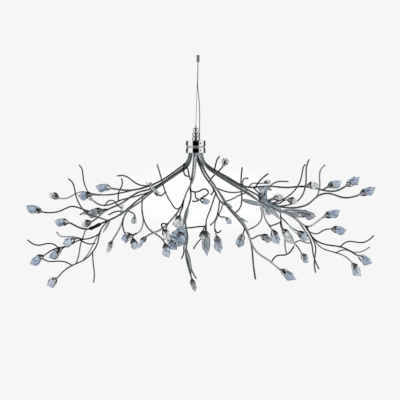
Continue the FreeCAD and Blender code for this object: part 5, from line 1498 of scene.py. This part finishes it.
# Soft lamps: name, place, width and power. They aim at the middle of the branches, and their height is a
# share of their width.
SOFT_LAMPS = (("key_softbox", (-2.6, -1.6, 1.8), 2.2, 38), ("fill_softbox", (2.8, -0.6, 0.9), 1.8, 16))
LAMP_AIM = Vector((0, 0, -0.6))
LAMP_HEIGHT_SHARE = 0.6

# Width of the camera's sensor in millimetres, how far it sees as a share of its distance, and a depth of the
# backdrop's oval so great that only its width and height tell
SENSOR_WIDTH_MM = 36
SIGHT_SHARE = 4
ENDLESS = 1e4


def studio_camera(studio):
    """A long lens from far away, since the photograph shows next to no perspective."""
    camera = bpy.data.cameras.new("studio_camera")
    camera.sensor_width = SENSOR_WIDTH_MM
    camera.lens = SENSOR_WIDTH_MM * studio.distance / studio.width
    camera.clip_end = studio.distance * SIGHT_SHARE
    held = link_to_scene("studio_camera", camera)
    held.location = (studio.aim_x, -studio.distance, studio.aim_z)
    held.rotation_euler = (math.radians(90), 0, 0)
    bpy.context.scene.camera = held


def gloss_level(nodes, links, split, studio):
    """What the metal's gloss meets in each direction: pale walls, dark at both ends, over head and below."""
    flag, far_flag = studio.flag_angle, studio.far_flag_angle
    edge = (-math.cos(flag - FLAG_SOFTNESS), -math.cos(flag + FLAG_SOFTNESS))
    front = remap(nodes, links, split.outputs["Y"], edge, (0, 1), soft=True)
    edge = (math.cos(far_flag + FAR_FLAG_SOFTNESS), math.cos(far_flag - FAR_FLAG_SOFTNESS))
    behind = remap(nodes, links, split.outputs["Y"], edge, (1, FAR_FLAG_LEVEL), soft=True)
    level = combine(nodes, links, "MULTIPLY", front, behind)
    for end, strength in ((1, studio.overhead), (-1, studio.underside)):
        reach = [end * edge for edge in POLE_FADE]
        fade = remap(nodes, links, split.outputs["Z"], reach, (1, strength), soft=True)
        level = combine(nodes, links, "MULTIPLY", level, fade)
    return level


def backdrop_level(nodes, links, place, studio):
    """What the camera sees behind the light: a pale backdrop with a brighter oval behind the stems."""
    far = studio.distance
    oval = nodes.new("ShaderNodeMapping")
    oval.vector_type = "TEXTURE"
    oval.inputs["Location"].default_value = (studio.glow_right / far, 0, studio.glow_up / far)
    oval.inputs["Scale"].default_value = (studio.glow_width / far, ENDLESS, studio.glow_height / far)
    links.new(place.outputs["Generated"], oval.inputs["Vector"])
    away = nodes.new("ShaderNodeVectorMath")
    away.operation = "LENGTH"
    links.new(oval.outputs["Vector"], away.inputs[0])
    return remap(nodes, links, away.outputs["Value"], GLOW_FADE, (studio.glow, studio.backdrop), soft=True)


def studio_world(studio):
    """A pale studio whose side behind the camera is dark, so that bright metal has something to show."""
    world = bpy.data.worlds.new("studio_world")
    bpy.context.scene.world = world
    world.use_nodes = True
    nodes = world.node_tree.nodes
    links = world.node_tree.links
    nodes.clear()
    place = nodes.new("ShaderNodeTexCoord")
    split = nodes.new("ShaderNodeSeparateXYZ")
    links.new(place.outputs["Generated"], split.inputs["Vector"])
    rays = nodes.new("ShaderNodeLightPath").outputs
    room = blend_values(nodes, links, rays["Is Glossy Ray"], ROOM_LEVEL,
                        gloss_level(nodes, links, split, studio))
    seen = combine(nodes, links, "MAXIMUM", rays["Is Camera Ray"], rays["Is Transmission Ray"])
    level = blend_values(nodes, links, seen, room, backdrop_level(nodes, links, place, studio))
    background = nodes.new("ShaderNodeBackground")
    background.inputs["Color"].default_value = (1, 1, 1, 1)
    links.new(level, background.inputs["Strength"])
    output = nodes.new("ShaderNodeOutputWorld")
    links.new(background.outputs["Background"], output.inputs["Surface"])


def floor_paint(studio):
    """Pale matt paint that fades out towards the floor's edge."""
    material, nodes, links, shader = new_finish("floor_paint", (0.9, 0.9, 0.9))
    matt = remap(nodes, links, noise(nodes, links, 40, 4), NOISE_RANGE, (0.6, 0.8))
    links.new(matt, shader.inputs["Roughness"])
    place = nodes.new("ShaderNodeTexCoord")
    flat = nodes.new("ShaderNodeVectorMath")
    flat.operation = "MULTIPLY"
    flat.inputs[1].default_value = (1, 1, 0)
    links.new(place.outputs["Object"], flat.inputs[0])
    away = nodes.new("ShaderNodeVectorMath")
    away.operation = "LENGTH"
    links.new(flat.outputs["Vector"], away.inputs[0])
    reach = [studio.floor_radius * part for part in FLOOR_FADE]
    fade = remap(nodes, links, away.outputs["Value"], reach, (0, 1), soft=True)
    clear = nodes.new("ShaderNodeBsdfTransparent")
    mix = nodes.new("ShaderNodeMixShader")
    links.new(fade, mix.inputs["Fac"])
    links.new(shader.outputs["BSDF"], mix.inputs[1])
    links.new(clear.outputs["BSDF"], mix.inputs[2])
    links.new(mix.outputs["Shader"], nodes["Material Output"].inputs["Surface"])
    return material


def studio_floor(studio):
    """A plain pale floor far below the light."""
    bm = bmesh.new()
    rings = [ring(bm, Vector((0, 0, -studio.floor_drop)), Vector((1, 0, 0)), Vector((0, 1, 0)),
                  studio.floor_radius * part, 64) for part in (0.2, 0.6, 1)]
    bridge(bm, rings)
    bm.faces.new(rings[0])
    mesh = bpy.data.meshes.new("studio_floor")
    bm.to_mesh(mesh)
    bm.free()
    mesh.materials.append(floor_paint(studio))
    floor = link_to_scene("studio_floor", mesh)
    floor.visible_glossy = False


def soft_lamp(name, spot, width, power):
    """A soft lamp that the metal doesn't mirror."""
    lamp = bpy.data.lights.new(name, "AREA")
    lamp.shape = "RECTANGLE"
    lamp.size = width
    lamp.size_y = width * LAMP_HEIGHT_SHARE
    lamp.energy = power
    held = link_to_scene(name, lamp)
    held.location = spot
    held.rotation_euler = (LAMP_AIM - Vector(spot)).to_track_quat("-Z", "Y").to_euler()
    held.visible_glossy = False


class PENDANT_OT_studio(Operator):
    """Sets the camera, the pale studio, its floor and the soft lamps"""
    bl_idname = "pendant.studio"
    bl_label = "Studio"

    def execute(self, context):
        studio = context.scene.pendant_studio
        context.scene.view_settings.view_transform = "Standard"
        studio_camera(studio)
        studio_world(studio)
        studio_floor(studio)
        for lamp in SOFT_LAMPS:
            soft_lamp(*lamp)
        return {"FINISHED"}


class PENDANT_OT_cables(Operator):
    """Lays the steel suspension cable and the supply cable"""
    bl_idname = "pendant.cables"
    bl_label = "Cables"

    def execute(self, context):
        cables = context.scene.pendant_cables
        steel_cable(cables)
        supply_cable(cables)
        return {"FINISHED"}


class PENDANT_OT_coupler(Operator):
    """Finishes the ceiling coupler, its collar and the cable's ball"""
    bl_idname = "pendant.coupler"
    bl_label = "Ceiling coupler"

    def execute(self, context):
        hub = context.scene.pendant_hub
        satin = polished_chrome("coupler_nickel", shade(hub.chrome, 0.4), 0.16, 0.3)
        dress("ceiling_coupler", satin)
        dress("coupler_collar", satin)
        dress("cable_ball_end", tinned_metal("ball_steel", (0.5, 0.5, 0.5)))
        return {"FINISHED"}


class PENDANT_OT_beads(Operator):
    """Turns the nipple and the three round beads over the hub"""
    bl_idname = "pendant.beads"
    bl_label = "Beads"

    def execute(self, context):
        hub_beads(context.scene.pendant_hub)
        return {"FINISHED"}


class PENDANT_OT_hub(Operator):
    """Turns the hub's drums and waist, and adds its screws, gland and inner pieces"""
    bl_idname = "pendant.hub"
    bl_label = "Hub"

    def execute(self, context):
        hub = context.scene.pendant_hub
        hub_drums(hub)
        hub_screw_heads(hub)
        hub_gland(hub)
        zinc = tinned_metal("zinc_steel", (0.55, 0.56, 0.57))
        dress("tie_rod", zinc)
        dress("hub_tie_nut", zinc)
        dress("terminal_block", terminal_plastic())
        return {"FINISHED"}


def rod_finishes(kind, base, braze_colour, dark, pale):
    """The finishes of a node's rods, in the order of their numbers: plain chrome, braze, and shaded and lit
    copies of the chrome as painted shade and painted light.
    """
    brazed = bpy.data.materials.get("braze_metal") or braze_metal(braze_colour)
    return [stem_chrome(kind + "_chrome", base), brazed,
            stem_chrome("dark_%s_chrome" % kind, shade(base, dark)),
            stem_chrome("pale_%s_chrome" % kind, shade(base, pale))]


class PENDANT_OT_boughs(Operator):
    """Bends the tubes that stand in the hub"""
    bl_idname = "pendant.boughs"
    bl_label = "Bough tubes"

    def execute(self, context):
        stems = context.scene.pendant_stems
        lay_boughs(stems)
        materials = rod_finishes("tube", stems.tube_metal, stems.braze, 0.45, 1.3)
        for node, rows in BOUGHS_PX.items():
            rod_piece(node, [row[0] for row in rows], stems, materials)
        return {"FINISHED"}


class PENDANT_OT_stems(Operator):
    """Bends the stems and twigs and brazes each foot to what carries it"""
    bl_idname = "pendant.stems"
    bl_label = "Stems and twigs"

    def execute(self, context):
        stems = context.scene.pendant_stems
        lay_stems(stems)
        materials = rod_finishes("stem", stems.metal, stems.braze, 0.2, 2.8)
        for region, rows in STEMS_PX.items():
            for kind, radius in (("stems", stems.stem_radius), ("twigs", stems.twig_radius)):
                names = [row[0] for row in rows if RADII[row[0]] == radius]
                if names:
                    rod_piece("%s_%s" % (region, kind), names, stems, materials)
        return {"FINISHED"}


def glass_finishes(buds):
    """Each kind of glass, then a darker copy of each for the painted shade on the petals' edges, then the
    greener petals of each.
    """
    kinds = (("lavender", buds.blue, 0.3), ("pale", buds.pale, 0.35), ("clear", buds.clear, 0.4),
             ("smoky", buds.smoky, 0.3))
    finishes = (("_glass", 1), ("_glass_edge_shade", buds.edge), ("_green_glass", (0.95, 1.02, 0.96)))
    return [pressed_glass(name + ending, shade(base, factor), clearness)
            for ending, factor in finishes for name, base, clearness in kinds]


def add_buds(made, names, buds):
    """Adds the glass, the holder and, where there is room, the lamp of each bud to the working meshes."""
    for name in names:
        foot, tip = LINES[name][-1], TIPS[name]
        seed = name_seed(name, 0.61)
        kind = next((kind for kind, own in BUDS_OF_KIND.items() if name in own), LAVENDER)
        girth = BUD_GIRTHS.get(name, 1)
        bud_glass(made["glass"], foot, tip, buds, seed, kind, girth)
        holder_piece(made["holders"], foot, tip, buds, seed, girth)
        if not is_small(foot, tip):
            lamp_piece(made["lamps"], foot, tip, buds)


def add_leaves(bm, rows, buds):
    """Adds the loose leaves of a region to the working mesh of its glass."""
    for carrier, low, high, half, turn, kind in rows:
        spot = nearest(LINES[carrier], *low)[0]
        foot = spot - Vector((0, RADII[carrier] * LEAF_FOOT_SHARE, 0))
        tip = at_pixel(*high, foot.y - buds.leaf_lean)
        leaf(bm, foot, tip, half, math.radians(turn), buds.wall, kind)


class PENDANT_OT_buds(Operator):
    """Makes the glass buds, their holders and the capsule lamps inside"""
    bl_idname = "pendant.buds"
    bl_label = "Buds"

    def execute(self, context):
        buds = context.scene.pendant_buds
        finishes = {
            "glass": ("cut_glass", glass_finishes(buds)),
            # The holders' black second finish is painted shade on the sepals' insides and edges
            "holders": ("holder_metal", [polished_chrome("holder_chrome", buds.holder_metal, 0.06, 0.14),
                                         blackened_steel((0.03, 0.03, 0.035))]),
            "lamps": ("lamp_glass", [lamp_glass(), filament_metal()]),
        }
        for region, rows in STEMS_PX.items():
            made = {kind: bmesh.new() for kind in finishes}
            add_buds(made, [*BOUGH_BUDS.get(region, ()), *(row[0] for row in rows if row[3])], buds)
            add_leaves(made["glass"], LEAVES_PX.get(region, ()), buds)
            for kind, (slot, materials) in finishes.items():
                node = "%s_bud_%s" % (region, kind)
                finish_piece(made[kind], node + "_shaped", "luminaire", materials, [node])
        return {"FINISHED"}


class PENDANT_OT_bindings(Operator):
    """Makes the dark sleeve and the binding wire of the left bough"""
    bl_idname = "pendant.bindings"
    bl_label = "Sleeve and binding wire"

    def execute(self, context):
        sleeve_piece()
        binding_piece()
        return {"FINISHED"}


STEPS = (PENDANT_OT_studio, PENDANT_OT_cables, PENDANT_OT_coupler, PENDANT_OT_beads, PENDANT_OT_hub,
         PENDANT_OT_boughs, PENDANT_OT_stems, PENDANT_OT_buds, PENDANT_OT_bindings)

GROUPS = {
    "pendant_studio": (PendantStudio, "Studio"),
    "pendant_cables": (PendantCables, "Cables"),
    "pendant_hub": (PendantHub, "Hub"),
    "pendant_stems": (PendantStems, "Stems"),
    "pendant_buds": (PendantBuds, "Buds"),
}


class PENDANT_PT_sidebar(Panel):
    """Lists the steps and the sizes of the pendant light"""
    bl_label = "Pendant light"
    bl_idname = "PENDANT_PT_sidebar"
    bl_space_type = "VIEW_3D"
    bl_region_type = "UI"
    bl_category = "Pendant"

    def draw(self, context):
        for step in STEPS:
            self.layout.operator(step.bl_idname)
        for name, (kind, title) in GROUPS.items():
            box = self.layout.box()
            box.label(text=title)
            values = getattr(context.scene, name)
            for key in kind.__annotations__:
                box.prop(values, key)


def register():
    for name, (kind, _) in GROUPS.items():
        bpy.utils.register_class(kind)
        setattr(bpy.types.Scene, name, PointerProperty(type=kind))
    for step in STEPS:
        bpy.utils.register_class(step)
    bpy.utils.register_class(PENDANT_PT_sidebar)


def unregister():
    bpy.utils.unregister_class(PENDANT_PT_sidebar)
    for step in reversed(STEPS):
        bpy.utils.unregister_class(step)
    for name, (kind, _) in reversed(GROUPS.items()):
        delattr(bpy.types.Scene, name)
        bpy.utils.unregister_class(kind)


def main():
    register()
    bpy.ops.pendant.studio()
    bpy.ops.pendant.cables()
    bpy.ops.pendant.coupler()
    bpy.ops.pendant.beads()
    bpy.ops.pendant.hub()
    bpy.ops.pendant.boughs()
    bpy.ops.pendant.stems()
    bpy.ops.pendant.buds()
    bpy.ops.pendant.bindings()


if __name__ == "__main__":
    main()
